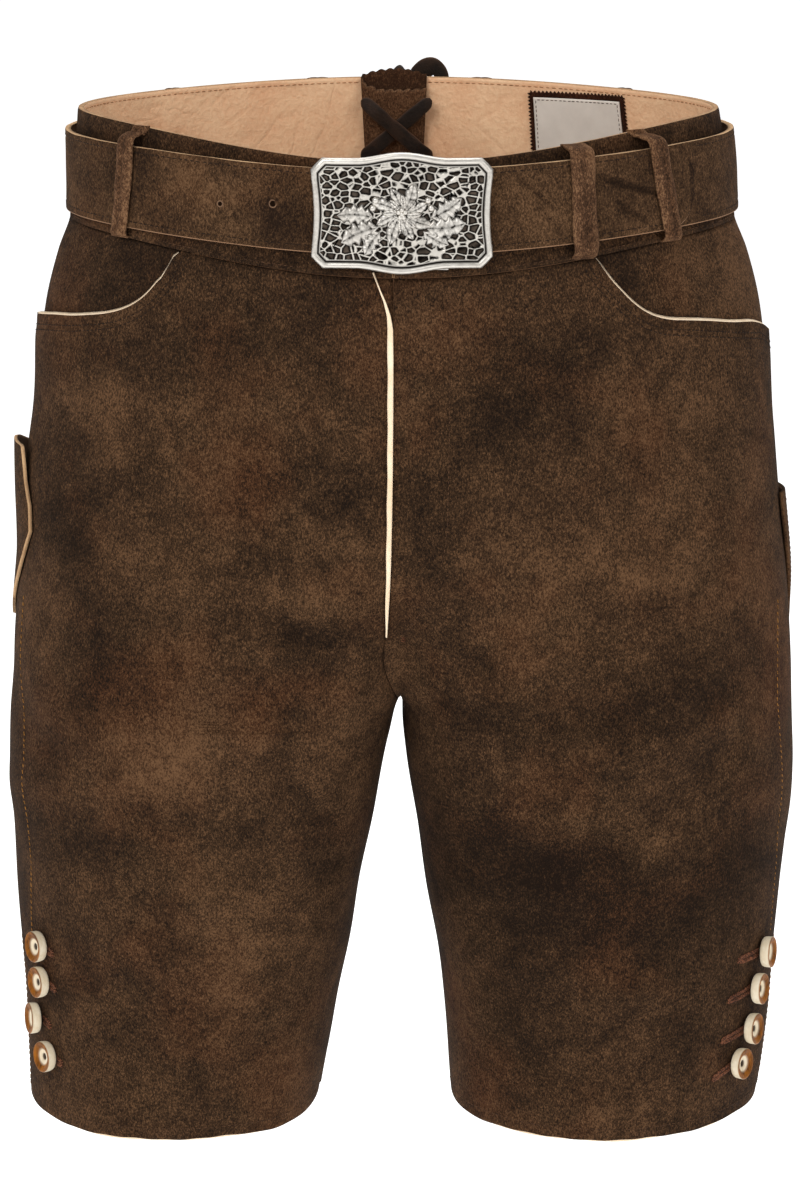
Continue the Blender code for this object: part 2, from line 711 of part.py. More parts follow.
# ---------------------------------------------------------------- side pockets
KNIFE_FRONT = ((-187.0, -0.21), (-205.0, -0.25), (-217.0, -0.325), (-231.0, -0.355),
               (-246.0, -0.28), (-260.0, -0.20), (-289.0, 0.03))     # height, angle
KNIFE_BACK = 0.34            # angle of its back edge
KNIFE_SLANT = 11.0           # how far the mouth drops towards that edge
KNIFE_STAND = 6.4            # how far the mouth stands off the leg


def knife_front(z):
    """Angle of the sheath's cut front edge, straight from corner to corner."""
    for (high, first), (low, second) in zip(KNIFE_FRONT, KNIFE_FRONT[1:]):
        if z >= low:
            return first + (second - first) * (high - z) / (high - low)
    return KNIFE_FRONT[-1][1]


def make_knife_pocket(suede):
    """Narrow sheath pocket over the wearer's right side seam, open at the top."""
    rows, columns = 15, 9
    top, low = KNIFE_FRONT[0][0], KNIFE_FRONT[-1][0]
    outer, inner = [], []
    for row in range(rows):
        down = row / (rows - 1)
        outer_row, inner_row = [], []
        for step in range(columns):
            across = step / (columns - 1)
            start = knife_front(top + (low - top) * down)
            angle = start + (KNIFE_BACK - start) * across
            mouth = top - KNIFE_SLANT * smooth_step(angle / KNIFE_BACK)
            z = mouth + (low - mouth) * down
            swell = max(0.0, 1 - down / 0.62) ** 1.3
            swell *= max(math.sin(math.pi * across) ** 0.5, 0.6 * (1 - across) * (1 - 3 * down))
            stand = 2 * SEAM_GAP + KNIFE_STAND * swell
            outer_row.append(skin(RIGHT, angle, z, stand + LEATHER))
            inner_row.append(skin(RIGHT, angle, z, stand))
        outer.append(outer_row)
        inner.append(inner_row)
    return wall_solid("knife_pocket", outer, inner, suede)


SEAT_POCKET_TOP = -214.0
SEAT_POCKET_LOW = -372.0
SEAT_POCKET_INNER = 112.0   # its inner edge from the middle plane


def make_seat_pocket(suede):
    """Patch pocket on the wearer's left, from the side seam to the seat."""
    def place(along, down):
        top = SEAT_POCKET_TOP - 5.0 * math.sin(math.pi * along)
        low = SEAT_POCKET_LOW - 20.0 * math.sin(math.pi * along)
        z = top + (low - top) * down
        outer = -0.16 + 0.42 * smooth_step(down * 1.1)
        inner = -front_angle(LEFT, SEAT_POCKET_INNER + 8.0 * down, z)
        return outer + (inner - outer) * along, z

    def lift(angle, z):
        return INNER_GAP + LEATHER + 0.8 * smooth_step((z + 330.0) / 80.0)

    skin_wall("seat_pocket", LEFT, 12, 13, place, lift, LEATHER, suede)


# ---------------------------------------------------------------- side slits and their buttons
Button = namedtuple("Button", "z angle outward")     # outward: its tilt from the leather, rad
BUTTONS = {
    RIGHT: (Button(-467.0, -0.59, 0.0), Button(-488.0, -0.61, 0.05),
            Button(-512.6, -0.53, 0.17), Button(-533.0, -0.64, 0.02)),
    LEFT: (Button(-473.0, -0.495, 0.14), Button(-493.0, -0.575, 0.15),
           Button(-516.4, -0.615, 0.15), Button(-535.5, -0.695, 0.12)),
}
ButtonRing = namedtuple("ButtonRing", "radius height")    # shares of the half width and depth
BUTTON_PROFILE = [ButtonRing(*row) for row in (
    (0.80, 0.0), (0.94, 0.10), (0.99, 0.40), (1.0, 0.85), (0.94, 1.0),
    (0.72, 0.86), (0.42, 0.62), (0.22, 0.58), (0.12, 0.34))]
BUTTON_SIDES = 14


def make_button(name, side, button, horn):
    """A turned horn disc with a hollow face, standing on the leather."""
    lean = BUTTON_WIDE * 0.34 * math.sin(button.outward)
    foot = skin(side, button.angle, button.z, BUTTON_GAP + lean)
    axis = oval_normal(side, button.angle, button.z)
    bearing = math.atan2(axis.y, axis.x) + side * button.outward
    axis = Vector((math.cos(bearing), math.sin(bearing), 0.05)).normalized()
    across = axis.cross(Vector((0, 0, 1))).normalized()
    upward = across.cross(axis)
    rings = []
    for level in BUTTON_PROFILE:
        ring = []
        for step in range(BUTTON_SIDES):
            turn = 2 * math.pi * step / BUTTON_SIDES
            spoke = (across * math.cos(turn) + upward * math.sin(turn)) * level.radius
            ring.append(foot + spoke * BUTTON_WIDE / 2 + axis * (level.height * BUTTON_DEEP))
        rings.append(ring)
    return rings_solid(name, rings, horn)


def make_buttons(horn):
    for side, word in ((RIGHT, "right"), (LEFT, "left")):
        for number, button in enumerate(BUTTONS[side], start=1):
            make_button("button_%s_%d" % (word, number), side, button, horn)


def make_slit_plackets(suede):
    """The strip behind each side slit, which the buttons are sewn through to."""
    for side, word in ((RIGHT, "right"), (LEFT, "left")):
        def place(along, down):
            angle = -0.30 + 0.45 * along
            return angle, HEM_Z + 2.0 + SLIT_LONG * (1 - down)

        def lift(angle, z):
            return -LEATHER - INNER_GAP

        skin_wall("slit_placket_" + word, side, 6, 5, place, lift, 1.6, suede)


# ---------------------------------------------------------------- back vent, lacing and label
GUSSET_TOP = {"far": 3.0, "near": -4.6}     # heights of the two layers' upper edges
GUSSET_LOW = -52.0
GUSSET_MIDDLE = -3.0        # it sits a little to the wearer's right
GUSSET_HALF = 18.6          # half width at the top
GUSSET_HALF_LOW = 15.6
GUSSET_OPEN = 5.0           # how far the layers stand apart at the top
LACE_WIDE = 8.4
LACE_THICK = 1.6
LACE_CROSS = 18.6           # half width of the crossings
LACE_MIDDLE = (-2.0, -26.5)     # where they cross


def back_turn(across):
    """Angle of a point on the back, across mm towards the wearer's left of the middle."""
    return math.pi - across / 172.0


def gusset_half(down):
    return GUSSET_HALF + (GUSSET_HALF_LOW - GUSSET_HALF) * down


def gusset_hollow(across, down):
    """How far the insert's two layers stand apart."""
    return 0.5 + GUSSET_OPEN * (1 - across ** 2) * (1 - down) ** 1.5


def gusset_front(x, z):
    """Depth of the near layer's face at one place, from the skin."""
    down = min(max((GUSSET_TOP["near"] - z) / (GUSSET_TOP["near"] - GUSSET_LOW), 0.0), 1.0)
    across = min(max((x - GUSSET_MIDDLE) / gusset_half(down), -1.0), 1.0)
    return -WAISTBAND_WALL - SEAM_GAP - 2 * LEATHER - gusset_hollow(across, down)


def make_vent_gusset(suede):
    """Insert behind the open vent: one strip folded double, with scalloped upper edges."""
    path = [(1 - step / 6, "far") for step in range(13)]
    path += [(-1.0, "fold")]
    path += [(-1 + step / 6, "near") for step in range(13)]
    back = -WAISTBAND_WALL - SEAM_GAP
    outer, inner = [], []
    for row in range(6):
        down = row / 5
        half = gusset_half(down)
        outer_row, inner_row = [], []
        for across, layer in path:
            scallop = 1.2 * abs(math.sin(across * math.pi * 3.5))
            if layer == "far":
                top = GUSSET_TOP["far"] + scallop + 3.4 * (1 - across ** 2)
                faces = ((across, back), (across, back - LEATHER))
            elif layer == "fold":
                top = (GUSSET_TOP["far"] + GUSSET_TOP["near"] + 3.0) / 2
                faces = ((-1.06, back - LEATHER - 0.25), (-0.985, back - LEATHER - 0.25))
            else:
                top = GUSSET_TOP["near"] + scallop + 6.0 * max(0.0, -across - 0.5)
                near = back - LEATHER - gusset_hollow(across, down)
                faces = ((across, near - LEATHER), (across, near))
            z = top + (GUSSET_LOW - top) * down
            for line, (share, depth) in zip((outer_row, inner_row), faces):
                line.append(skin_round(back_turn(GUSSET_MIDDLE + share * half), z, depth))
        outer.append(outer_row)
        inner.append(inner_row)
    return wall_solid("vent_gusset", outer, inner, suede)


def lace_strip(name, points, lifts, material, widths, thick=LACE_THICK):
    """A flat lace round the waist: (across, z) points on the back, each with lift and width."""
    outer, inner = [], []
    last = len(points) - 1
    for place, (across, z) in enumerate(points):
        before = points[max(place - 1, 0)]
        after = points[min(place + 1, last)]
        run = Vector((after[0] - before[0], after[1] - before[1])).normalized()
        flank = Vector((-run.y, run.x)) * widths[place] / 2
        outer_row, inner_row = [], []
        for edge in (-1, 0, 1):
            turn = back_turn(across + flank.x * edge)
            height = z + flank.y * edge
            outer_row.append(skin_round(turn, height, lifts[place] + thick))
            inner_row.append(skin_round(turn, height, lifts[place]))
        outer.append(outer_row)
        inner.append(inner_row)
    return wall_solid(name, outer, inner, material)


def make_lace_crossings(lace):
    """Two round-ended stretches that cross inside the vent, close on the gusset."""
    steps = [-1 + 2 * place / 10 for place in range(11)]
    middle, height = LACE_MIDDLE
    for name, rise, over in (("lace_cross_under", 15.5, 0.0), ("lace_cross_over", -15.5, 1.0)):
        path = [(middle + LACE_CROSS * step, height + rise * step) for step in steps]
        widths = [LACE_WIDE * max(1 - step ** 8, 0.25) for step in steps]
        lifts = []
        for step in steps:
            reach = max(abs(step), 0.4)
            near = [gusset_front(middle + LACE_CROSS * along + x, height + lean * along + up)
                    for along in (-reach, reach) for lean in (-rise, rise)
                    for x in (-4, 4) for up in (-3, 3)]
            step_over = (LACE_THICK + SEAM_GAP) * smooth_step(2.3 - 2.2 * abs(step))
            lifts.append(min(near) - SEAM_GAP - LACE_THICK - over * step_over)
        lace_strip(name, path, lifts, lace, widths)


LACE_OUT = 3.6 + BELT_WALL + 2 * SEAM_GAP      # outside run of the lace, clear of the belt
KNOT_Z = 0.5
LOOP_UP = ((6.0, 0.5), (9.5, 3.0), (14.0, 5.0), (18.5, 5.2), (22.0, 3.0), (23.4, -2.0),
           (21.5, -7.2), (17.0, -10.4), (11.5, -9.0), (7.8, -4.4))
LOOP_UP_WIDE = (3.2, 7.0, 10.6, 11.4, 9.0, 7.4, 6.4, 5.4, 4.2, 3.2)
LOOP_DOWN = ((-5.4, 0.0), (-10.5, -2.5), (-16.5, -7.0), (-20.0, -13.0), (-18.5, -18.5),
             (-13.5, -18.5), (-10.0, -14.0), (-8.3, -9.0))
LACE_END = ((2.9, -5.0), (3.2, -10.0), (4.2, -19.0), (5.0, -28.0), (5.2, -38.0), (6.0, -48.0),
            (7.5, -57.0), (8.2, -66.0), (8.6, -76.0))


def make_lace_bow(lace):
    """Outside the vent: a knot, one loop standing up, one hanging, and two free ends."""
    lace_strip("lace_loop_left", LOOP_UP, [LACE_OUT] * len(LOOP_UP), lace, LOOP_UP_WIDE)
    count = len(LOOP_DOWN)
    lace_strip("lace_loop_right", LOOP_DOWN, [LACE_OUT] * count, lace, [4.4] * count)
    for word, sign in (("left", 1), ("right", -1)):
        path = [(sign * x, z) for x, z in LACE_END]
        lace_strip("lace_end_" + word, path, [LACE_OUT] * len(path), lace, [5.0] * len(path))
    rings = []
    for grow, depth in ((0.75, 0.0), (1.0, 0.9), (1.0, 2.8), (0.7, 3.8)):
        ring = []
        for step in range(12):
            turn = 2 * math.pi * step / 12
            across = 4.4 * grow * math.cos(turn)
            z = KNOT_Z + 5.0 * grow * math.sin(turn)
            ring.append(skin_round(back_turn(across), z, LACE_OUT + depth))
        rings.append(ring)
    return rings_solid("lace_knot", rings, lace)


LABEL_TURN = math.pi - 0.635


def make_label(backing, cloth):
    """A plain sewn label on the inside of the waistband, on a darker backing."""
    for name, half_wide, top, low, lift, thick, material in (
            ("label_backing", 27.0, -5.0, -43.0, -WAISTBAND_WALL - SEAM_GAP, 1.0, backing),
            ("label", 24.5, -8.0, -40.0, -WAISTBAND_WALL - 2 * SEAM_GAP - 1.0, 0.8, cloth)):
        outer, inner = [], []
        for down in (0.0, 0.33, 0.67, 1.0):
            z = top + (low - top) * down
            turns = [LABEL_TURN + half_wide * across / 140.0 for across in (-1, -0.5, 0, 0.5, 1)]
            outer.append([skin_round(turn, z, lift) for turn in turns])
            inner.append([skin_round(turn, z, lift - thick) for turn in turns])
        wall_solid(name, outer, inner, material)


# ---------------------------------------------------------------- the whole garment
def clear_scene():
    for item in list(bpy.data.objects):
        bpy.data.objects.remove(item, do_unlink=True)


def build():
    clear_scene()
    suede = paint("suede", (0.065, 0.035, 0.018), 0.9, 0.0)
    edge = paint("cut_edge", (0.83, 0.67, 0.50), 0.8, 0.0)
    silver = paint("silver", (0.60, 0.60, 0.58), 0.3, 1.0)
    horn = paint("horn", (0.45, 0.26, 0.08), 0.35, 0.0)
    lace = paint("lace", (0.03, 0.012, 0.008), 0.6, 0.0)
    backing = paint("label_backing", (0.05, 0.018, 0.009), 0.85, 0.0)
    cloth = paint("label_cloth", (0.68, 0.62, 0.58), 0.8, 0.0)
    make_panels(suede)
    make_hip_facings(suede)
    make_waistband(suede)
    make_belt(suede)
    make_belt_loops(suede)
    make_buckle(silver)
    make_fly_edge(edge)
    make_knife_pocket(suede)
    make_seat_pocket(suede)
    make_slit_plackets(suede)
    make_buttons(horn)
    make_vent_gusset(suede)
    make_lace_crossings(lace)
    make_lace_bow(lace)
    make_label(backing, cloth)


build()
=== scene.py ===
"""Short lederhosen: worn suede, its sewing, belt and buckle, horn buttons and back lacing.

Metres, +Z up, front towards -Y, the wearer's left towards +X. The tables are in millimetres.
"""
import math

import bpy
import numpy as np
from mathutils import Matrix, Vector


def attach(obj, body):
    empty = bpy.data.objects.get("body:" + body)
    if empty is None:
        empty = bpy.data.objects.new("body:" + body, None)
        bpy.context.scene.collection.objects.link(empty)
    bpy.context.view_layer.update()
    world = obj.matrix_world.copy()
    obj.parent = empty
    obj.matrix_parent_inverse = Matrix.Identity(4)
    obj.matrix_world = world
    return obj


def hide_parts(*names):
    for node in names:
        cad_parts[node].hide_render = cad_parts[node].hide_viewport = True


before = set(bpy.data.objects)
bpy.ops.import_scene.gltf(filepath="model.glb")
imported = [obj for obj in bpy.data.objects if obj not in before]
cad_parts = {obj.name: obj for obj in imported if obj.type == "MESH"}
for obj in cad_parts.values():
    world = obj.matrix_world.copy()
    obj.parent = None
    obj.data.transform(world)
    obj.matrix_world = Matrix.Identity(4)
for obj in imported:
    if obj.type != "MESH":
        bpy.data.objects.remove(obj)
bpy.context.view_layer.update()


# ---------------------------------------------------------------- camera, floor and light
# A long lens looks down a little on the front. The floor is plain and pale, and large soft
# lights from above and both sides leave only soft shade between the legs and under the belt.
bpy.ops.object.camera_add(location=(0.0, -2.0, 0.237), rotation=(math.radians(75.5), 0.0, 0.0))
camera = bpy.context.object
camera.data.lens = 110.0
camera.data.sensor_fit = "VERTICAL"
camera.data.sensor_height = 36.0
camera.data.sensor_width = 36.0
bpy.context.scene.camera = camera

for name, place, size, power in (("key", (-1.3, -2.3, 1.7), 1.6, 46.0),
                                 ("fill", (1.9, -1.9, 0.9), 1.6, 15.0),
                                 ("top", (0.2, 0.6, 2.0), 1.8, 26.0)):
    bpy.ops.object.light_add(type="AREA", location=place)
    lamp = bpy.context.object
    lamp.name = name
    lamp.data.size = size
    lamp.data.energy = power
    aim = Vector((0.0, 0.0, -0.3)) - Vector(place)
    lamp.rotation_euler = aim.to_track_quat("-Z", "Y").to_euler()

world = bpy.data.worlds.new("studio")
bpy.context.scene.world = world
world.use_nodes = True
surround = world.node_tree.nodes["Background"].inputs
surround["Color"].default_value = (1, 1, 1, 1)
surround["Strength"].default_value = 0.50
bpy.context.scene.view_settings.view_transform = "Standard"

bpy.ops.mesh.primitive_plane_add(size=60.0, location=(0.0, 0.0, -0.72))
floor = bpy.context.object
floor.name = "floor"
pale = bpy.data.materials.new("floor_paper")
pale.use_nodes = True
paper = pale.node_tree.nodes["Principled BSDF"].inputs
paper["Base Color"].default_value = (1, 1, 1, 1)
paper["Roughness"].default_value = 1.0
paper["Emission Color"].default_value = (1, 1, 1, 1)
paper["Emission Strength"].default_value = 0.55
floor.data.materials.append(pale)


# ---------------------------------------------------------------- free ends of the back lace
# A flat thong of dark leather laces the back vent. Its two ends hang from the knot over the
# belt. All pieces lie on the worn surface, a row of ovals from the waist down to each hem.
MM = 0.001
RIGHT, LEFT = -1, 1
OUTER, INNER = {RIGHT: 1, LEFT: 2}, {RIGHT: 3, LEFT: 4}     # columns of the next table
FRONT_DEEP, BACK_DEEP, SQUARE = 5, 6, 7
SECTIONS = np.array((
    # z, right, left, inner right, inner left, front, back, square
    (20.0, 174.0, 171.0, -1.0, -1.0, 109.0, 106.0, 2.0),
    (0.0, 175.0, 173.0, -1.0, -1.0, 110.0, 108.0, 2.0),
    (-30.0, 177.0, 178.0, -1.0, -1.0, 113.0, 112.0, 2.0),
    (-60.0, 180.0, 182.5, -1.0, -1.0, 116.0, 118.0, 2.0),
    (-80.0, 187.0, 190.0, -1.0, -1.0, 117.5, 123.0, 2.0),
    (-110.0, 195.0, 198.0, -0.97, -0.97, 119.0, 130.0, 2.0),
    (-150.0, 201.0, 204.0, -0.84, -0.84, 119.5, 136.0, 2.0),
    (-200.0, 208.0, 210.0, -0.62, -0.62, 119.0, 138.0, 2.05),
    (-250.0, 212.4, 215.5, -0.36, -0.36, 118.5, 134.0, 2.1),
    (-288.0, 216.4, 218.5, -0.16, -0.16, 117.5, 126.0, 2.35),
    (-312.0, 218.8, 220.3, -0.045, -0.045, 116.0, 119.5, 3.1),
    (-325.0, 219.8, 221.0, 0.0, 0.0, 115.0, 115.5, 3.5),
    (-345.0, 220.6, 222.0, 0.022, 0.006, 112.5, 112.0, 3.7),
    (-370.0, 221.0, 223.0, 0.045, 0.018, 110.0, 109.0, 3.6),
    (-405.0, 220.0, 222.0, 0.073, 0.045, 105.0, 105.0, 3.2),
    (-441.0, 219.0, 218.0, 0.105, 0.069, 100.0, 101.0, 2.9),
    (-478.0, 217.5, 215.0, 0.133, 0.098, 95.0, 97.0, 2.6),
    (-514.0, 216.0, 213.5, 0.167, 0.117, 90.0, 94.0, 2.5),
    (-551.0, 215.0, 209.0, 0.200, 0.137, 87.0, 91.0, 2.4),
    (-572.0, 215.0, 206.0, 0.219, 0.148, 85.5, 89.0, 2.35),
    (-590.0, 215.0, 203.5, 0.230, 0.155, 84.0, 88.0, 2.3),
))
FOLDS = (
    # side, z, angle, slope, long, wide, deep: the largest folds of the leather
    (LEFT, -352.0, -1.05, 0.75, 60.0, 13.0, -1.8),
    (LEFT, -322.0, -1.25, 0.65, 62.0, 13.0, 1.6),
    (LEFT, -300.0, -1.70, -0.95, 46.0, 12.0, -1.8),
    (RIGHT, -300.0, -1.72, -0.95, 44.0, 12.0, -1.8),
    (RIGHT, -345.0, -1.35, -0.60, 52.0, 13.0, 1.5),
    (RIGHT, -335.0, -0.55, 0.35, 60.0, 14.0, -1.8),
    (RIGHT, -372.0, -0.50, -0.30, 62.0, 13.0, 1.8),
    (LEFT, -392.0, -0.70, -0.35, 60.0, 14.0, -1.8),
    (LEFT, -470.0, -1.70, -0.20, 60.0, 16.0, 1.5),
    (RIGHT, -480.0, -1.20, 0.25, 60.0, 16.0, -1.5),
    (RIGHT, -290.0, 1.65, 0.95, 60.0, 14.0, -2.6),
    (LEFT, -290.0, 1.65, 0.95, 60.0, 14.0, -2.6),
    (RIGHT, -345.0, 1.25, 0.55, 70.0, 15.0, 2.2),
    (LEFT, -352.0, 1.20, 0.50, 70.0, 15.0, -2.2),
    (RIGHT, -410.0, 1.40, -0.30, 65.0, 16.0, -2.0),
    (LEFT, -420.0, 1.45, -0.30, 65.0, 16.0, 1.8),
)


def read_smoothly(heights, values, z):
    """A table's value at z, on a smooth curve through its rows. The heights fall row by row."""
    last = len(heights) - 1
    z = np.clip(z, heights[last], heights[0])
    row = np.clip(np.searchsorted(-heights, -z, side="left") - 1, 0, last - 1)
    before, after = np.maximum(row - 1, 0), np.minimum(row + 2, last)
    run = heights[row + 1] - heights[row]
    share = (z - heights[row]) / run
    slope_in = (values[row + 1] - values[before]) / (heights[row + 1] - heights[before])
    slope_out = (values[after] - values[row]) / (heights[after] - heights[row])
    cube, square = share ** 3, share ** 2
    return ((2 * cube - 3 * square + 1) * values[row] + (cube - 2 * square + share) * run * slope_in
            + (3 * square - 2 * cube) * values[row + 1] + (cube - square) * run * slope_out)


def down_the_leg(column, z):
    return read_smoothly(SECTIONS[:, 0], SECTIONS[:, column], z)


def section(side, z):
    """Middle and half width of the oval at a height. The inner side is a share of the outer."""
    outer = down_the_leg(OUTER[side], z)
    inner = outer * down_the_leg(INNER[side], z)
    return (outer + inner) / 2, (outer - inner) / 2


def smooth_step(value):
    value = np.clip(value, 0.0, 1.0)
    return value * value * (3 - 2 * value)


def bump(distance, width):
    return np.exp(-(distance / width) ** 2)


def oval_point(side, angle, z):
    """A place on the oval: angle 0 is the side, -90 degrees the front and 90 the back."""
    angle, z = np.broadcast_arrays(np.asarray(angle, float), np.asarray(z, float))
    centre, half = section(side, z)
    depth = np.where(angle < 0, down_the_leg(FRONT_DEEP, z), down_the_leg(BACK_DEEP, z))
    across, deep = np.cos(angle), np.sin(angle)
    power = 2 / down_the_leg(SQUARE, z)
    inner = across < 0
    deep = np.where(inner, np.copysign(np.abs(deep) ** power, deep), deep)
    across = np.where(inner, -np.abs(across) ** power, across)
    return np.stack((side * (centre + half * across), depth * deep, z), axis=-1)


def unit(vectors):
    return vectors / np.maximum(np.linalg.norm(vectors, axis=-1, keepdims=True), 1e-9)


def oval_normal(side, angle, z):
    turn = oval_point(side, angle + 0.01, z) - oval_point(side, angle - 0.01, z)
    rise = oval_point(side, angle, z + 1.0) - oval_point(side, angle, z - 1.0)
    return unit(np.cross(turn, rise) * side)


def fold_height(side, angle, z):
    half = section(side, z)[1]
    lift = np.zeros(np.broadcast(angle, z).shape)
    for of_side, fold_z, fold_angle, slope, long, wide, deep in FOLDS:
        if of_side == side:
            across_leg, up, turn = (angle - fold_angle) * half, z - fold_z, math.atan(slope)
            along = across_leg * math.cos(turn) + up * math.sin(turn)
            across = up * math.cos(turn) - across_leg * math.sin(turn)
            lift = lift + deep * bump(along, long) * bump(across, wide)
    return lift * smooth_step((-z - 70.0) / 40.0)


def skin(side, angle, z, out=0.0):
    """Points of the leather's outer face, moved out along its normal, with the normals."""
    normal = oval_normal(side, angle, z)
    lift = np.asarray(out + fold_height(side, angle, z))[..., None]
    return oval_point(side, angle, z) + normal * lift, normal


def skin_round(turn, z, out=0.0):
    """The same by the angle from the centre front, positive towards the wearer's left."""
    turn, z, out = np.broadcast_arrays(np.asarray(turn, float), z, out)
    turn = (turn + math.pi) % (2 * math.pi) - math.pi
    angle = np.abs(turn) - math.pi / 2
    left = (turn >= 0)[..., None]
    point = np.where(left, oval_point(LEFT, angle, z), oval_point(RIGHT, angle, z))
    normal = np.where(left, oval_normal(LEFT, angle, z), oval_normal(RIGHT, angle, z))
    return point + normal * out[..., None], normal


def read_points(piece, kind="co"):
    flat = np.empty(len(piece.data.vertices) * 3)
    piece.data.vertices.foreach_get(kind, flat)
    return flat.reshape(-1, 3)


def move_points(piece, spots):
    piece.data.vertices.foreach_set("co", spots.ravel())
    piece.data.update()


def shade_round(mesh):
    mesh.polygons.foreach_set("use_smooth", [True] * len(mesh.polygons))


def keep_values(piece, name, values):
    """Keeps a number at each point, for the piece's material to read."""
    each = np.array(np.broadcast_to(values, len(piece.data.vertices)), float)
    piece.data.attributes.new(name, "FLOAT", "POINT").data.foreach_set("value", each)


def lay_grid(name, points, normals):
    """A grid primitive laid through rows and columns of points, its faces turned outwards.

    The grid counts its points from the last row up to the first.
    """
    rows, columns = points.shape[:2]
    bpy.ops.object.select_all(action="DESELECT")
    bpy.ops.mesh.primitive_grid_add(x_subdivisions=columns - 1, y_subdivisions=rows - 1, size=2)
    piece = bpy.context.object
    piece.name = piece.data.name = name
    flat = read_points(piece)
    column = np.rint((flat[:, 0] + 1) / 2 * (columns - 1)).astype(int)
    row = np.rint((1 - flat[:, 1]) / 2 * (rows - 1)).astype(int)
    move_points(piece, points[row, column] * MM)
    if (read_points(piece, "normal") * normals[row, column]).sum() < 0:
        piece.data.flip_normals()
    shade_round(piece.data)
    return piece


def close_tube():
    """Joins the last made grid's first and last columns, and fills the two open ends."""
    bpy.ops.object.mode_set(mode="EDIT")
    bpy.ops.mesh.select_all(action="SELECT")
    bpy.ops.mesh.remove_doubles(threshold=0.00001)
    bpy.ops.mesh.select_all(action="SELECT")
    bpy.ops.mesh.fill_holes(sides=0)
    bpy.ops.mesh.select_all(action="SELECT")
    bpy.ops.mesh.normals_make_consistent(inside=False)
    bpy.ops.object.mode_set(mode="OBJECT")


def put_on(piece, material, *nodes, slot):
    """Gives a piece its material, sets it under the root, and hides the model's parts for the nodes that
    it stands for.
    """
    if material:
        piece.data.materials.append(material)
    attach(piece, "root")
    if nodes:
        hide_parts(*nodes)
    return piece


class Wire:
    """A socket of a material's node tree that can be reckoned with like a number."""

    def __init__(self, graph, socket):
        self.graph, self.socket = graph, socket

    def reckon(self, operation, *others, first=None):
        values = ((self,) if first is None else (first, self)) + others
        sockets = dict(enumerate(values))
        return self.graph.node("ShaderNodeMath", {"operation": operation}, sockets).out(0)

    def __add__(self, other):
        return self.reckon("ADD", other)

    def __radd__(self, other):
        return self.reckon("ADD", first=other)

    def __sub__(self, other):
        return self.reckon("SUBTRACT", other)

    def __rsub__(self, other):
        return self.reckon("SUBTRACT", first=other)

    def __mul__(self, other):
        return self.reckon("MULTIPLY", other)

    def __rmul__(self, other):
        return self.reckon("MULTIPLY", first=other)

    def clip(self):
        return self.reckon("MAXIMUM", 0.0).reckon("MINIMUM", 1.0)

    def size(self):
        return self.reckon("ABSOLUTE")


class Node:
    """One node, whose outputs are taken by name or number."""

    def __init__(self, graph, made):
        self.graph, self.made = graph, made

    def out(self, name):
        return Wire(self.graph, self.made.outputs[name])


class Finish:
    """One material, made node by node from a type, its settings and its sockets."""

    def __init__(self, name):
        self.material = bpy.data.materials.new(name)
        self.material.use_nodes = True
        self.tree = self.material.node_tree
        self.tree.nodes.clear()
        self.place = self.node("ShaderNodeTexCoord").out("Object")

    def node(self, kind, settings=None, sockets=None):
        made = self.tree.nodes.new(kind)
        for key, value in (settings or {}).items():
            setattr(made, key, value)
        for key, value in (sockets or {}).items():
            if isinstance(value, Wire):
                self.tree.links.new(value.socket, made.inputs[key])
            else:
                made.inputs[key].default_value = value
        return Node(self, made)

    def stretched(self, along):
        return self.node("ShaderNodeMapping", None, {"Vector": self.place, "Scale": along}).out(0)

    def noise(self, scale, detail=4.0, rough=0.6, place=None, twist=0.0):
        """Noise from 0 to 1 that uses most of that range."""
        made = self.node("ShaderNodeTexNoise", None, {
            "Vector": place or self.place, "Scale": scale, "Detail": detail, "Roughness": rough,
            "Distortion": twist})
        return ((made.out(0) - 0.5) * 2.1 + 0.5).clip()

    def mix(self, factor, first, second):
        made = self.node("ShaderNodeMix", {"data_type": "RGBA"}, {0: factor, 6: first, 7: second})
        return made.out(2)

    def attribute(self, name):
        return self.node("ShaderNodeAttribute", {"attribute_name": name}).out("Fac")

    def relief(self, height, depth, strength=1.0):
        return self.node("ShaderNodeBump", None, {
            "Height": height, "Distance": depth * MM, "Strength": strength}).out(0)

    def surface(self, **sockets):
        named = {key.replace("_", " "): value for key, value in sockets.items()}
        shader = self.node("ShaderNodeBsdfPrincipled", None, named)
        self.node("ShaderNodeOutputMaterial", None, {"Surface": shader.out(0)})
        return self.material


def rgb(red, green, blue):
    """A colour from its 0 to 255 display values."""
    linear = [((v / 255 + 0.055) / 1.055) ** 2.4 if v > 10 else v / 3295 for v in (red, green, blue)]
    return (*linear, 1.0)


def thong_leather():
    """Nearly black grained leather with a slight polish on the high places."""
    thong = Finish("lace_leather")
    grain = thong.noise(900.0, 3.0)
    wear_and_shading = thong.noise(90.0, 3.0)
    face = thong.mix(grain * 0.5 + wear_and_shading * 0.3, rgb(16, 11, 8), rgb(46, 32, 22))
    edge = (thong.attribute("edge") + (wear_and_shading - 0.5) * 0.5).clip()
    # The thong's edges are painted lighter and redder, partly the cut's own colour and partly a painted
    # highlight along them.
    colour = thong.mix(edge * 0.7, face, rgb(88, 58, 38))
    return thong.surface(Base_Color=colour, Roughness=0.72 - grain * 0.15, Specular_IOR_Level=0.2,
                         Normal=thong.relief(grain, 0.25, 0.7))


lace_leather = thong_leather()
LACE_OUT = 7.2              # outside run of the lace, clear of the belt's face
THONG_THICK = 1.6
BACK_ROUND = 172.0          # mm across the centre back for each radian of turn


def back_turn(across):
    return math.pi - across / BACK_ROUND


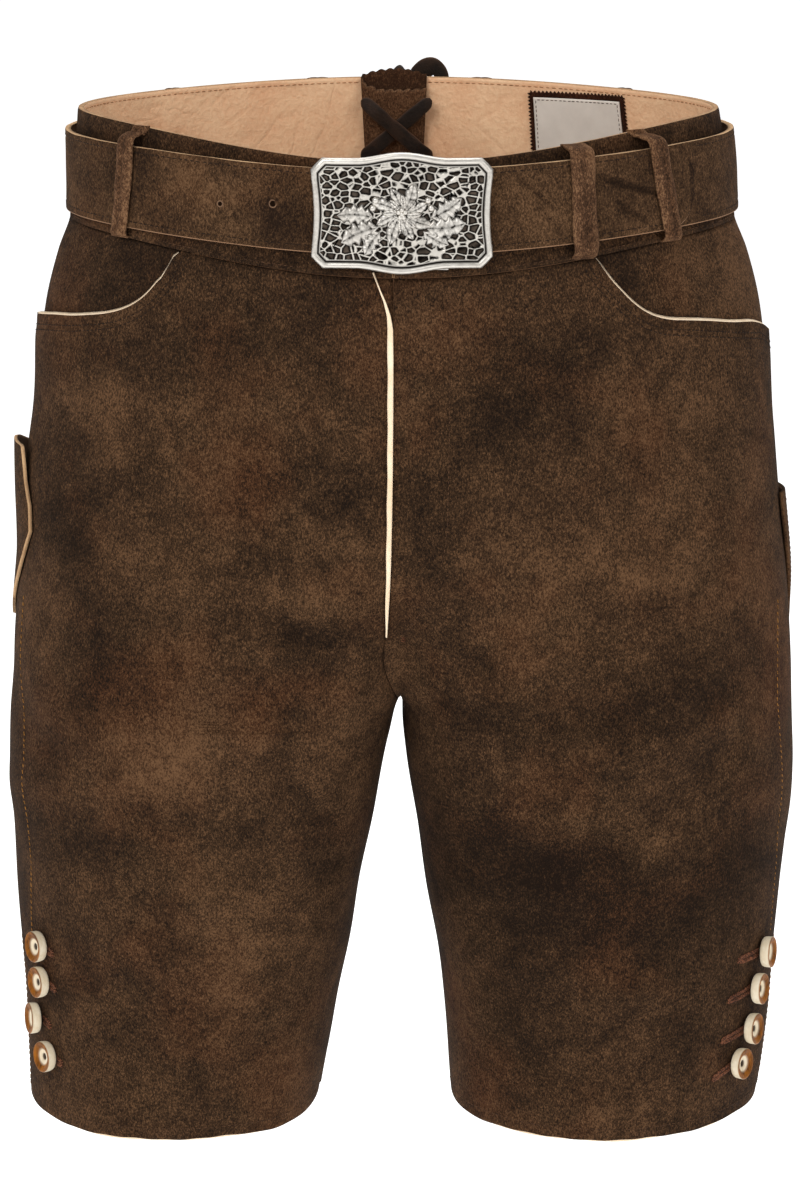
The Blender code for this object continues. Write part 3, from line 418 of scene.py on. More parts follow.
def lace_strip(name, path, lift, wide, thick=THONG_THICK, finer=5):
    """A flat thong with rounded edges along (across, z) points on the back, lifts beside."""
    path = np.asarray(path, float)
    lift = np.broadcast_to(np.asarray(lift, float), len(path))
    steps = np.arange(len(path))
    fine = np.linspace(0, len(path) - 1, (len(path) - 1) * finer + 1)
    heights = -steps.astype(float)
    across = read_smoothly(heights, path[:, 0], -fine)
    z = read_smoothly(heights, path[:, 1], -fine)
    high = read_smoothly(heights, lift, -fine)
    wide = read_smoothly(heights, np.broadcast_to(np.asarray(wide, float), len(path)), -fine)
    run = unit(np.stack((np.gradient(across), np.gradient(z)), axis=-1))
    turns = np.linspace(0, 2 * math.pi, 17)
    edge = np.sign(np.cos(turns)) * np.abs(np.cos(turns)) ** 0.45 * wide[:, None] / 2
    up = (1 + np.sign(np.sin(turns)) * np.abs(np.sin(turns)) ** 0.75) * thick / 2
    wander = 0.035 * np.sin(fine * 13.0 / len(path)) + 0.025 * np.sin(fine * 29.0 / len(path))
    edge = edge * (1 + wander[:, None])
    spot_across = across[:, None] - run[:, 1, None] * edge
    spot_z = z[:, None] + run[:, 0, None] * edge
    points, normals = skin_round(back_turn(spot_across), spot_z, high[:, None] + up)
    piece = lay_grid(name, points, normals)
    keep_values(piece, "edge", np.tile(np.abs(np.cos(turns)) ** 5, len(fine)))
    close_tube()
    centre = skin_round(back_turn(across), z, high + thick / 2)[0] * MM
    return piece, centre


LACE_END = ((2.9, -5.0), (3.2, -10.0), (4.2, -19.0), (5.0, -28.0), (5.2, -38.0), (6.0, -48.0),
            (7.5, -57.0), (8.2, -66.0), (8.6, -76.0))
for word, sign in (("left", 1), ("right", -1)):
    piece, centre = lace_strip("lace_end_%s_thong" % word, [(sign * x, z) for x, z in LACE_END],
                               LACE_OUT, 5.0)
    put_on(piece, lace_leather, "lace_end_" + word, slot="lace")
    long = float(np.linalg.norm(np.diff(centre, axis=0), axis=1).sum())


# ---------------------------------------------------------------- front and back panels
# Four panels of brown split suede, 1.8 mm thick, sewn at the sides, crotch and back. The fronts
# are cut away at the hip pockets. The cut edges stay raw and pale, and the hems are unturned.
FRONT, BACK = -1, 1
WAIST_DIP_FRONT, WAIST_RISE_BACK, WAISTBAND_HIGH = 16.0, 4.0, 60.0
LEATHER, SEAM_GAP, SIDE_SEAM = 1.8, 0.3, -0.02
SEAM_STEP = SEAM_GAP / 2 / 100.0
SEAM_DRAWN = 0.05           # the seat seam is sewn shut, so its edges all but meet
WAIST_ROUND = 150.0         # mm round the waist for each radian of turn, on the average
CROTCH_Z, SLIT_TOP, HEM_Z = -325.0, -474.0, -572.0
FRONT_SEAM = np.array(((-60.0, -3.4), (-80.0, -3.4), (-180.0, -3.8), (-255.0, -5.6),
                       (-276.0, -7.6), (-291.0, -8.6), (-313.0, -2.7), (-325.0, -0.15)))
FLY_TOP, FLY_LOW = -84.0, -274.0
# Each hip pocket's mouth: angle round the hip, and its drop from the waistband's seam.
SCOOP = {
    RIGHT: ((-0.865, 0.0), (-0.852, 5.5), (-0.838, 12.0), (-0.81, 20.6), (-0.78, 26.8),
            (-0.75, 30.8), (-0.72, 33.9), (-0.67, 37.4), (-0.61, 40.2), (-0.46, 44.9),
            (-0.25, 48.6), (0.0, 51.0)),
    LEFT: ((-0.972, 0.0), (-0.96, 6.6), (-0.94, 12.9), (-0.91, 20.7), (-0.89, 26.0),
           (-0.86, 31.0), (-0.82, 35.0), (-0.78, 38.3), (-0.61, 43.6), (-0.47, 48.2),
           (-0.26, 52.4), (0.0, 55.0)),
}
CORNER_DROP = {RIGHT: 3.0, LEFT: 10.0}
MOUTH_LIFT = 3.4
MOUTH_PALE, MOUTH_PALE_OUTER, MOUTH_LEAD = 1.5, 0.5, 0.014      # the pale cut line along it
HEM_PALE, SLIT_PALE = 1.45, 1.0
UPPER_ROWS, LEG_ROWS, PANEL_COLUMNS = 116, 98, 100

# Creases, from (x, z) to (x, z): width, depth, and front or back.
CREASES = (
    (-126.0, -298.0, -116.0, -318.0, 2.6, -0.7, FRONT),
    (-67.0, -304.0, -54.0, -380.0, 9.0, -1.6, FRONT),
    (-177.0, -333.0, -176.0, -356.0, 2.6, -0.6, FRONT),
    (-102.0, -314.0, -93.0, -382.0, 3.0, -0.7, FRONT),
    (79.0, -243.0, 101.0, -281.0, 2.8, -0.8, FRONT), (77.0, -281.0, 94.0, -255.0, 2.6, -0.7, FRONT),
    (54.0, -329.0, 82.0, -376.0, 2.6, -0.7, FRONT), (66.0, -326.0, 96.0, -368.0, 2.6, -0.5, FRONT),
    (-88.0, -259.0, -20.0, -276.0, 8.0, -1.3, FRONT), (12.0, -312.0, 88.0, -323.0, 8.0, -1.3, FRONT),
    (110.0, -247.0, 172.0, -226.0, 9.0, 1.0, FRONT), (104.0, -317.0, 186.0, -313.0, 10.0, -1.2, FRONT),
    (38.0, -404.0, 122.0, -392.0, 12.0, -1.2, FRONT), (-168.0, -189.0, -62.0, -176.0, 8.0, 0.8, FRONT),
    (134.0, -146.0, 161.0, -178.0, 3.0, -0.8, FRONT), (-30.0, -330.0, -40.0, -420.0, 11.0, -1.5, FRONT),
    (24.0, -300.0, 60.0, -272.0, 6.0, -0.9, FRONT), (-24.0, -296.0, -62.0, -262.0, 7.0, -1.0, FRONT),
    (150.0, -470.0, 90.0, -500.0, 11.0, 1.0, FRONT), (-150.0, -430.0, -90.0, -455.0, 12.0, -1.1, FRONT),
    (60.0, -520.0, 140.0, -540.0, 9.0, -0.8, FRONT), (-130.0, -520.0, -75.0, -505.0, 9.0, 0.8, FRONT),
    (-150.0, -120.0, -128.0, -160.0, 4.0, 0.6, FRONT), (40.0, -150.0, 110.0, -140.0, 11.0, 0.8, FRONT),
    (20.0, -240.0, 46.0, -300.0, 7.0, -0.9, FRONT), (-20.0, -200.0, -60.0, -225.0, 9.0, 0.8, FRONT),
    (-40.0, -250.0, -150.0, -215.0, 9.0, -1.8, BACK), (40.0, -254.0, 150.0, -220.0, 9.0, -1.8, BACK),
    (-30.0, -280.0, -120.0, -262.0, 6.0, -1.4, BACK), (34.0, -286.0, 126.0, -262.0, 6.0, -1.4, BACK),
    (-60.0, -330.0, -130.0, -350.0, 4.0, -0.9, BACK), (64.0, -326.0, 140.0, -354.0, 4.0, -0.9, BACK),
    (-100.0, -390.0, -170.0, -372.0, 12.0, 1.6, BACK), (80.0, -400.0, 170.0, -380.0, 12.0, 1.6, BACK),
    (-110.0, -440.0, -60.0, -480.0, 10.0, -1.4, BACK), (100.0, -452.0, 60.0, -500.0, 10.0, -1.2, BACK),
    (-12.0, -90.0, -60.0, -120.0, 8.0, 1.2, BACK), (12.0, -90.0, 62.0, -122.0, 8.0, 1.2, BACK),
    (-90.0, -150.0, -150.0, -190.0, 12.0, 0.9, BACK), (96.0, -146.0, 150.0, -196.0, 12.0, 0.9, BACK),
)

# Soft light and dark clouds, partly in the dye and partly painted shade on the inner legs and low on the
# wearer's left leg: x, z, half width, half height, tone, front or back.
CLOUDS = (
    (-124.0, -128.0, 30.0, 16.0, -0.7, FRONT), (-149.0, -150.0, 30.0, 14.0, 0.6, FRONT),
    (-178.0, -225.0, 20.0, 30.0, -0.7, FRONT), (-75.0, -106.0, 40.0, 16.0, -0.3, FRONT),
    (-58.0, -180.0, 34.0, 26.0, -0.45, FRONT), (-53.0, -250.0, 40.0, 12.0, 0.5, FRONT),
    (-48.0, -270.0, 36.0, 16.0, -0.3, FRONT), (-161.0, -278.0, 26.0, 22.0, -0.4, FRONT),
    (-121.0, -340.0, 40.0, 26.0, 0.75, FRONT), (-54.0, -380.0, 20.0, 40.0, -0.1, FRONT),
    (-161.0, -396.0, 30.0, 14.0, -0.9, FRONT), (-130.0, -372.0, 20.0, 8.0, -0.5, FRONT),
    (-93.0, -454.0, 20.0, 30.0, 0.6, FRONT), (-156.0, -505.0, 24.0, 40.0, -0.35, FRONT),
    (-30.0, -345.0, 14.0, 46.0, 0.2, FRONT), (58.0, -147.0, 26.0, 14.0, -0.8, FRONT),
    (84.0, -117.0, 40.0, 18.0, -0.45, FRONT), (136.0, -150.0, 30.0, 24.0, 0.35, FRONT),
    (117.0, -235.0, 46.0, 26.0, 0.5, FRONT), (160.0, -200.0, 24.0, 24.0, 0.5, FRONT),
    (11.0, -218.0, 10.0, 26.0, -0.3, FRONT), (60.0, -196.0, 30.0, 30.0, 0.25, FRONT),
    (44.0, -324.0, 34.0, 16.0, -0.6, FRONT), (162.0, -300.0, 26.0, 20.0, -0.45, FRONT),
    (101.0, -420.0, 60.0, 36.0, -0.7, FRONT), (56.0, -395.0, 40.0, 44.0, -0.6, FRONT),
    (24.0, -410.0, 24.0, 70.0, -0.45, FRONT), (150.0, -400.0, 60.0, 120.0, -0.35, FRONT),
    (146.0, -386.0, 30.0, 16.0, 0.6, FRONT), (170.0, -430.0, 24.0, 40.0, -0.5, FRONT),
    (133.0, -520.0, 46.0, 22.0, 0.15, FRONT), (70.0, -500.0, 24.0, 40.0, -0.3, FRONT),
    (-90.0, -130.0, 50.0, 26.0, 0.5, BACK), (80.0, -170.0, 50.0, 30.0, 0.55, BACK),
    (-70.0, -270.0, 60.0, 24.0, -0.8, BACK), (90.0, -290.0, 50.0, 24.0, -0.7, BACK),
    (-140.0, -380.0, 40.0, 40.0, 0.5, BACK), (130.0, -420.0, 44.0, 30.0, -0.6, BACK),
    (-100.0, -500.0, 50.0, 26.0, -0.4, BACK), (110.0, -520.0, 40.0, 24.0, 0.45, BACK),
)


def split_suede(name, dark, mid, light, rust, nap=0.32):
    """Brushed split leather: a short curly nap, cloudy dye and pale hairs where it is worn."""
    suede = Finish(name)
    clouds = suede.noise(13.0, 5.0, 0.62, twist=0.6)
    mottle = suede.noise(48.0, 5.0, 0.68, twist=0.4)
    patches = suede.noise(130.0, 4.0, 0.70)
    flecks = suede.noise(460.0, 4.0, 0.78, twist=0.8)
    fibres = suede.noise(1300.0, 3.0, 0.75, place=suede.stretched((1.0, 1.0, 0.5)))
    curls = (1.0 - (suede.noise(300.0, 2.0, 0.5, twist=2.6) - 0.5).size() * 7.0).clip()
    # The tone attribute lightens or darkens the suede: the dye's clouds and wear, and painted shade and
    # light laid on by the pieces.
    tone = suede.attribute("tone")
    level = (0.42 + (clouds - 0.5) * 0.46 + (mottle - 0.5) * 0.38 + (patches - 0.5) * 0.24
             + (flecks - 0.5) * 0.52 + (fibres - 0.5) * 1.20 + curls * 0.22 + tone * 0.36)
    ruddy = ((suede.noise(11.0, 4.0, 0.6) - 0.47) * 2.0 + tone * 0.2).clip()
    shade = suede.mix((level * 2.0).clip(), dark, suede.mix(ruddy, mid, rust))
    shade = suede.mix((level * 2.0 - 1.0).clip(), shade, light)
    height = flecks * 0.5 + fibres * 0.3 + curls * 0.3 + patches * 0.30 + mottle * 0.35
    return suede.surface(Base_Color=shade, Roughness=0.96, Normal=suede.relief(height, nap, 0.9),
                         Specular_IOR_Level=0.08)


def raw_edge(name, low, high):
    """A cut through leather: pale felted fibre, darker where it has been handled."""
    cut = Finish(name)
    fibre = cut.noise(1100.0, 4.0, 0.75)
    soil = cut.noise(70.0, 4.0, 0.65)
    colour = cut.mix((fibre * 0.4 + soil * 0.6).clip(), low, high)
    return cut.surface(Base_Color=colour, Roughness=0.9, Normal=cut.relief(fibre, 0.3, 0.7))


brown_suede = split_suede("brown_suede", rgb(25, 16, 10), rgb(55, 38, 24), rgb(99, 71, 48),
                          rgb(72, 44, 26))
flesh_side = raw_edge("flesh_side", rgb(112, 80, 54), rgb(150, 112, 80))
cream_edge = raw_edge("cream_edge", rgb(226, 190, 150), rgb(255, 238, 210))


def front_angle(side, x, z):
    """The angle at which the front's face stands x from the middle plane, outwards."""
    centre, half = section(side, z)
    share = np.clip((x - centre) / half, -1.0, 1.0)
    power = down_the_leg(SQUARE, z) / 2
    return -np.arccos(np.where(share < 0, -np.abs(share) ** power, share))


def waist_top(angle):
    return -1.5 - np.where(angle < 0, WAIST_DIP_FRONT, -WAIST_RISE_BACK) * np.sin(angle) ** 4


def waist_seam(angle):
    return waist_top(angle) - WAISTBAND_HIGH


def scoop_drop(side, angle):
    """The mouth's depth below the seam: the table's straight runs with their corners eased."""
    turns, drops = zip(*SCOOP[side])
    ease = (-0.045, -0.03, -0.015, 0.0, 0.015, 0.03, 0.045)
    soft = sum(np.interp(angle + off, turns, drops) for off in ease) / len(ease)
    return np.where(angle < turns[0] + 0.05, np.interp(angle, turns, drops), soft)


def scoop_top(side, angle):
    corner = CORNER_DROP[side] * np.maximum(0.0, (angle + 0.34) / 0.32) ** 1.6
    return waist_seam(angle) - SEAM_GAP - scoop_drop(side, angle) - corner


def back_top(side, angle):
    return waist_seam(angle) - SEAM_GAP


def front_seam(z):
    return read_smoothly(FRONT_SEAM[:, 0], FRONT_SEAM[:, 1], z)


def crease_height(facing, x, z):
    """Listed creases: a trough or ridge with a lower lip beside it, thinning to its ends."""
    lift = np.zeros(x.shape)
    for x1, z1, x2, z2, wide, deep, on in CREASES:
        if on != facing:
            continue
        long = math.hypot(x2 - x1, z2 - z1)
        share = ((x - x1) * (x2 - x1) + (z - z1) * (z2 - z1)) / long ** 2
        across = ((x - x1) * (z2 - z1) - (z - z1) * (x2 - x1)) / long
        across = across + 0.035 * long * np.sin(share * 4.1 + x1) + 0.4 * wide * np.sin(share * 9.0)
        ends = smooth_step(0.5 + 2.2 * (0.5 - np.abs(share - 0.5)) * 1.6)
        lift = lift + deep * ends * (bump(across, wide) - 0.45 * bump(across - 1.9 * wide, wide))
    return lift


def cloud_tone(facing, x, z):
    tone = np.zeros(x.shape)
    for cloud_x, cloud_z, wide, high, depth, on in CLOUDS:
        if on == facing:
            tone = tone + depth * bump(x - cloud_x, wide) * bump(z - cloud_z, high)
    return tone


def panel_lift(side, facing, angle, z):
    """What lifts a panel off the plain worn surface: mouth, creases, seams and hem."""
    half = section(side, z)[1]
    x = oval_point(side, angle, z)[..., 0]
    lift = crease_height(facing, x, z)
    lift = lift + 0.5 * np.sin(x * 0.09 + z * 0.021) * np.sin(z * 0.047 + x * 0.013)
    if facing == FRONT:
        near_mouth = 1 - smooth_step((-115.0 - z) / 60.0)
        lift = lift + MOUTH_LIFT * smooth_step((angle + 1.0) / 0.9) * near_mouth
        below = scoop_top(side, angle) - z
        puckers = np.where(below < 16.0, np.sin(x * 0.55) ** 2, 0.0) * bump(below - 7, 4)
        lift = lift - 0.35 * puckers
    slit = smooth_step((-470.0 - z) / 8.0)
    lift = lift - 0.9 * bump((angle - SIDE_SEAM) * half, 2.6) * (1 - slit)
    to_hem = z - HEM_Z
    flare = np.sin(x * 0.060 + side) + 0.6 * np.sin(x * 0.131 + 2.0 * facing)
    return lift + flare * 0.9 * bump(to_hem, 26.0)


def panel_spots(side, facing, top_of):
    """Angles and heights of the grid: rows follow the crotch's curve at their inner end."""
    start = float(waist_seam(np.array(facing * math.pi / 2))) - SEAM_GAP
    heights = np.linspace(start, CROTCH_Z, 900)
    edge = oval_point(side, -facing * front_angle(side, 0.0, heights), heights)
    runs = np.concatenate(([0.0], np.cumsum(np.linalg.norm(np.diff(edge, axis=0), axis=1))))
    rows = np.interp(np.linspace(0, runs[-1], UPPER_ROWS + 1), runs, heights)
    rows = np.concatenate((rows, np.linspace(CROTCH_Z, HEM_Z, LEG_ROWS + 1)[1:]))
    down = np.arange(len(rows)) / UPPER_ROWS
    along = np.linspace(0, 1, PANEL_COLUMNS)
    side_angle = SIDE_SEAM + facing * SEAM_STEP
    side_top = float(top_of(side, np.array(side_angle)))
    side_z = np.where(down > 1, rows, side_top + (CROTCH_Z - side_top) * down)
    blend = smooth_step(along)
    z = rows[:, None] + (side_z - rows)[:, None] * blend
    middle = -front_angle(side, 0.0, z) - SEAM_STEP
    if facing == FRONT:
        open_front = -front_angle(side, np.maximum(side * front_seam(z), 0) + SEAM_GAP / 2, z)
        middle = np.where(z > CROTCH_Z, open_front, middle)
    angle = facing * middle + (side_angle - facing * middle) * along
    drop = (1 - np.minimum(down, 1))[:, None]
    z = z + (top_of(side, angle) - (start + (side_top - start) * blend)) * drop ** 2
    return angle, z


def select_only(*pieces):
    bpy.ops.object.select_all(action="DESELECT")
    for piece in pieces:
        piece.select_set(True)
    bpy.context.view_layer.objects.active = pieces[0]


FACE, FLESH, RIM = 0, 1, 2          # a wall's materials in order


def thicken(piece, wall, *materials):
    """Adds the leather's wall inwards: its face, then its inner face and its cut edge."""
    for material in materials:
        piece.data.materials.append(material)
    made = piece.modifiers.new("wall", "SOLIDIFY")
    made.thickness, made.offset = wall * MM, -1.0
    if len(materials) > 1:
        made.material_offset, made.material_offset_rim = FLESH, RIM
    select_only(piece)
    bpy.ops.object.modifier_apply(modifier="wall")


def pare(piece, shape, top=0.0, bottom=0.0, first=0.0, last=0.0, strip=False):
    """Draws the face back from its cut edges, in mm, so that the pale cut shows there.

    shape is the grid's rows and columns. A rim that isn't drawn back is dyed like the face.
    With strip the face's lowest row shows the flesh side's colour, worn through.
    """
    rows, columns = shape
    count = rows * columns
    spots = read_points(piece)
    face = spots[:count].reshape(rows, columns, 3)[::-1]
    drawn = {"top": np.broadcast_to(top, columns), "bottom": np.broadcast_to(bottom, columns),
             "first": np.broadcast_to(first, rows), "last": np.broadcast_to(last, rows)}
    flat = face.copy()
    inward = unit(face[1] - face[0])
    along = unit(np.gradient(face[0], axis=0))
    inward = unit(inward - along * (inward * along).sum(axis=-1, keepdims=True))
    for row in range(min(rows, 7)):
        past = ((face[row] - face[0]) * inward).sum(axis=-1) / MM
        push = np.maximum(0.0, drawn["top"] + 0.12 * row - past) * (drawn["top"] > 0)
        flat[row] += inward * push[:, None] * MM
    flat[-1] += unit(face[-2] - face[-1]) * drawn["bottom"][:, None] * MM
    flat[:, 0] += unit(face[:, 1] - face[:, 0]) * drawn["first"][:, None] * MM
    flat[:, -1] += unit(face[:, -2] - face[:, -1]) * drawn["last"][:, None] * MM
    spots[:count] = flat[::-1].reshape(-1, 3)
    move_points(piece, spots)
    for polygon in piece.data.polygons:
        if polygon.material_index != RIM:
            if strip and max(polygon.vertices) < 2 * columns:
                polygon.material_index = FLESH
            continue
        across = [index % count % columns for index in polygon.vertices]
        down = [rows - 1 - index % count // columns for index in polygon.vertices]
        if max(down) == 0:
            share = drawn["top"][min(across)]
        elif min(down) == rows - 1:
            share = drawn["bottom"][min(across)]
        elif max(across) == 0:
            share = drawn["first"][min(down)]
        else:
            share = drawn["last"][min(down)]
        if share <= 0:
            polygon.material_index = FACE


def both_layers(values):
    """A grid's values in the order of a wall's points, its face and then its inner face."""
    return np.tile(values[::-1].ravel(), 2)


def keep_dye_and_shading(piece, wear_and_shading=0.0):
    """Keeps the tone at each point: the dye's clouds, partly painted shade, and the piece's own wear with
    painted shade and light.
    """
    x, y, z = read_points(piece).T / MM
    keep_values(piece, "tone", np.where(y < 0, cloud_tone(FRONT, x, z), cloud_tone(BACK, x, z)) + wear_and_shading)


# Each panel's name, top edge, flat size in metres and area in square metres.
CUT = {FRONT: ("front", scoop_top, (0.285, 0.545), 0.142),
       BACK: ("back", back_top, (0.305, 0.560), 0.156)}
for side, side_word in ((RIGHT, "right"), (LEFT, "left")):
    for facing, (word, top_of, flat, area) in CUT.items():
        angle, z = panel_spots(side, facing, top_of)
        lift = panel_lift(side, facing, angle, z)
        plain = oval_point(side, angle, z)
        from_middle = np.abs(plain[..., 0])
        above = smooth_step((z - CROTCH_Z) / 14.0)
        if facing == FRONT:
            past_seam = side * (plain[..., 0] - front_seam(z))
            lapped = smooth_step((FLY_TOP + 4 - z) / 6.0) * smooth_step((z - FLY_LOW + 6) / 12.0)
            if side == LEFT:
                lift = lift + 1.5 * bump(past_seam, 7.0) * lapped
            lift = lift - 0.8 * bump(past_seam, 2.2) * above * (1 - lapped)
        else:
            lift = lift - 0.9 * bump(from_middle, 2.4) * above
        lift = lift - 0.8 * bump(top_of(side, angle) - z, 2.0) * (angle < SCOOP[side][0][0])
        points, normals = skin(side, angle, z, lift)
        if facing == FRONT and side == LEFT:
            lap = front_angle(RIGHT, -(SEAM_GAP / 2 + front_seam(z[:, 0])), z[:, 0])
            lapping = skin(RIGHT, lap, z[:, 0], lift[:, 0])[0]
            points[:UPPER_ROWS, 0] = lapping[:UPPER_ROWS]
        limit = SEAM_GAP / 2 + (side * front_seam(z) * (z > CROTCH_Z) if facing == FRONT else 0)
        points[..., 0] = side * np.maximum(side * points[..., 0], limit)
        if facing == BACK:
            points[:UPPER_ROWS, 0, 0] = side * SEAM_DRAWN
        panel = lay_grid("%s_panel_%s_suede" % (word, side_word), points, normals)
        thicken(panel, LEATHER, brown_suede, flesh_side, cream_edge)
        on_mouth = (angle[0] > SCOOP[side][0][0] - MOUTH_LEAD) * (facing == FRONT)
        mouth = np.where(angle[0] > -0.1, MOUTH_PALE_OUTER, MOUTH_PALE) * on_mouth
        hem_x = plain[-1, :, 0]
        hem = HEM_PALE + 0.35 * np.sin(hem_x * 0.11) + 0.2 * np.sin(hem_x * 0.37)
        slit = SLIT_PALE * (z[:, -1] < SLIT_TOP)
        pare(panel, points.shape[:2], top=mouth, bottom=hem, last=slit)
        # The creases are painted into the tone as well: darker in their troughs and lighter on their
        # ridges, painted shade and light.
        keep_dye_and_shading(panel, wear_and_shading=both_layers(0.22 * crease_height(facing, plain[..., 0], z)))
        put_on(panel, None, "%s_panel_%s" % (word, side_word), slot="suede")


# ---------------------------------------------------------------- hip pocket facings
# The hip piece shows in each pocket's mouth and goes down behind the front. It is the same suede, painted
# darker near the mouth as painted shade under the front's edge, and sewn into the waistband and side seam.
FACING_WALL, FACING_DEEP, FACING_LOW = 1.6, 20.0, -135.0


def laid_on_skin(name, side, rows, columns, place, lift, wall, tone=None, edge=cream_edge, **drawn):
    """A sheet on the worn surface: place(along, down) gives angle and height, tone its painted shade and
    light.
    """
    along, down = np.meshgrid(np.linspace(0, 1, columns), np.linspace(0, 1, rows))
    angle, z = place(along, down)
    points, normals = skin(side, angle, z, lift(angle, z))
    piece = lay_grid(name, points, normals)
    thicken(piece, wall, brown_suede, flesh_side, edge)
    pare(piece, points.shape[:2], **drawn)
    keep_dye_and_shading(piece, wear_and_shading=both_layers(tone(along, down)) if tone else 0.0)
    return piece


for side, side_word in ((RIGHT, "right"), (LEFT, "left")):
    first = SCOOP[side][0][0] - 0.05
    last = SIDE_SEAM - SEAM_STEP

    def facing_place(along, down):
        angle = first + (last - first) * along
        top = waist_seam(angle) - SEAM_GAP
        low = np.maximum(scoop_top(side, angle) - FACING_DEEP, FACING_LOW)
        return angle, top + (low - top) * down

    def facing_lift(angle, z):
        waves = 0.5 * np.sin(angle * 9.0 + z * 0.05)
        return waves - (LEATHER + 0.9) * (1 - smooth_step((angle + 0.95) / 0.95))

    # Painted shade: each facing is darker near the inner part of the pocket's mouth, under the front's
    # edge; the wearer's left one is painted lighter further out and lower down.
    def facing_tone(along, down):
        if side == RIGHT:
            return -0.1 - 0.7 * bump(along - 0.25, 0.3)
        return 0.7 - 1.5 * bump(along, 0.33) + 0.2 * down

    piece = laid_on_skin("hip_facing_%s_suede" % side_word, side, 34, 60, facing_place, facing_lift,
                         FACING_WALL, tone=facing_tone)
    put_on(piece, None, "hip_facing_" + side_word, slot="suede")


# ---------------------------------------------------------------- waistband
# Two halves of suede, faced inside with smooth tan leather, meet at the fly and stop short of
# each other at the back vent. The top edge is cut, and stitches follow each edge inside.
def tan_lining():
    """Smooth vegetable-tanned lining leather with soft blotches and fine creases."""
    tan = Finish("tan_lining")
    blotch = tan.noise(24.0, 5.0, 0.62)
    grain = tan.noise(480.0, 4.0, 0.7)
    crease = (1.0 - (tan.noise(17.0, 2.0, 0.5, twist=1.2) - 0.5).size() * 12.0).clip()
    # The creases are painted a little darker: painted shade in them.
    colour = tan.mix((0.33 + blotch * 0.5 + (grain - 0.5) * 0.4 - crease * 0.06).clip(),
                     rgb(222, 155, 110), rgb(255, 218, 175))
    return tan.surface(Base_Color=colour, Roughness=0.62,
                       Normal=tan.relief(grain * 0.3 - crease * 0.28 + blotch * 2.2, 0.8, 0.8))


lining_leather = tan_lining()
tan_edge = raw_edge("tan_edge", rgb(128, 92, 60), rgb(198, 158, 114))
VENT_HALF, VENT_LOW, WAISTBAND_WALL = 14.0, 5.0, 3.0
WAIST_HALF = 175.0          # the waistband's half width
for side, side_word in ((RIGHT, "right"), (LEFT, "left")):
    down = np.linspace(0, 1, 27)[:, None]
    seam = side * float(front_seam(np.array(-WAISTBAND_HIGH)))
    first = (seam + SEAM_GAP / 2) / WAIST_HALF
    last = math.pi - (VENT_HALF + (VENT_LOW - VENT_HALF) * down) / WAIST_HALF
    turn = first + (last - first) * np.linspace(0, 1, 200)[None, :]
    angle = np.abs(turn) - math.pi / 2
    z = waist_top(angle) - WAISTBAND_HIGH * down
    near_seam = bump((1 - down) * WAISTBAND_HIGH - 2.0, 2.4)
    lift = 0.5 * near_seam + 0.25 * np.sin(turn * 150.0) * near_seam
    lift = lift + 0.35 * np.sin(turn * 21.0) * np.sin(down * 5.0)
    lift = lift - 0.5 * bump(down * WAISTBAND_HIGH, 0.9)
    points, normals = skin_round(side * turn, z, lift)
    piece = lay_grid("waistband_%s_suede" % side_word, points, normals)
    thicken(piece, WAISTBAND_WALL, brown_suede, lining_leather, tan_edge)
    pare(piece, points.shape[:2], top=0.7, first=0.5, last=0.5)
    keep_dye_and_shading(piece, wear_and_shading=-0.2)
    put_on(piece, None, "waistband_" + side_word, slot="suede")


# ---------------------------------------------------------------- belt
# One strap of doubled suede goes round through the loops. It laps over its own buckle end and
# finishes in a round tip. Its cut edges are tan, and it has punched holes and a few hard folds.
BELT_HIGH, BELT_WALL, BELT_DROP, BELT_DIP_FRONT = 44.5, 3.0, 13.0, 8.0
BELT_LAP, BELT_TIP, BELT_END = 3.3, 1.0, -0.16
BELT_CREASES = (
    # turn, down, turn, down, width, depth
    (0.585, 0.22, 0.86, 0.62, 1.8, -1.8), (0.66, 0.56, 0.76, 0.84, 1.7, -1.4),
    (0.33, 0.10, 0.44, 0.55, 1.3, -1.2), (0.40, 0.45, 0.46, 0.85, 1.5, -0.9),
    (-0.575, 0.06, -0.455, 0.92, 0.8, -0.7),
    (-0.95, 0.10, -0.90, 0.90, 3.0, -0.4), (-0.40, 0.20, -0.36, 0.80, 2.4, -0.4),
    (1.9, 0.10, 1.95, 0.90, 2.6, -0.5), (-2.1, 0.10, -2.2, 0.90, 2.8, -0.5),
    (-2.7, 0.15, -2.6, 0.85, 2.4, -0.5), (2.6, 0.10, 2.7, 0.90, 2.4, -0.5),
)


def belt_top(turn):
    """Height of the strap's top edge, by the angle from the centre front."""
    angle = np.abs((turn + math.pi) % (2 * math.pi) - math.pi) - math.pi / 2
    return -BELT_DROP - np.where(angle < 0, BELT_DIP_FRONT, 0.0) * np.sin(angle) ** 4


def belt_stand(down):
    """The strap's inner face off the waistband: it leans out at its top."""
    return 0.6 + 3.0 * (1 - down)


def belt_crease(turn, down):
    """Hard folds pressed into the strap by use, each with a raised lip; their troughs are also painted
    dark and their lips light, as painted shade and light.
    """
    lift = np.zeros(np.broadcast(turn, down).shape)
    for turn1, down1, turn2, down2, wide, deep in BELT_CREASES:
        x, y = (turn - turn1) * WAIST_ROUND, (down - down1) * BELT_HIGH
        run, fall = (turn2 - turn1) * WAIST_ROUND, (down2 - down1) * BELT_HIGH
        long = math.hypot(run, fall)
        share = (x * run + y * fall) / long ** 2
        across = (x * fall - y * run) / long + 0.5 * np.sin(share * 6.0)
        ends = smooth_step(1.0 - np.abs(share - 0.5) * 1.7 + 0.3)
        lift = lift + deep * ends * (bump(across, wide) - 0.4 * bump(across - 1.8 * wide, wide))
    return lift


def belt_out(turn, down):
    """The belt's outer face off the waistband, with the step where it laps over itself."""
    step = BELT_LAP * smooth_step((turn + 0.62) / 0.40)
    return belt_stand(down) + step + BELT_WALL + belt_crease(turn, down)


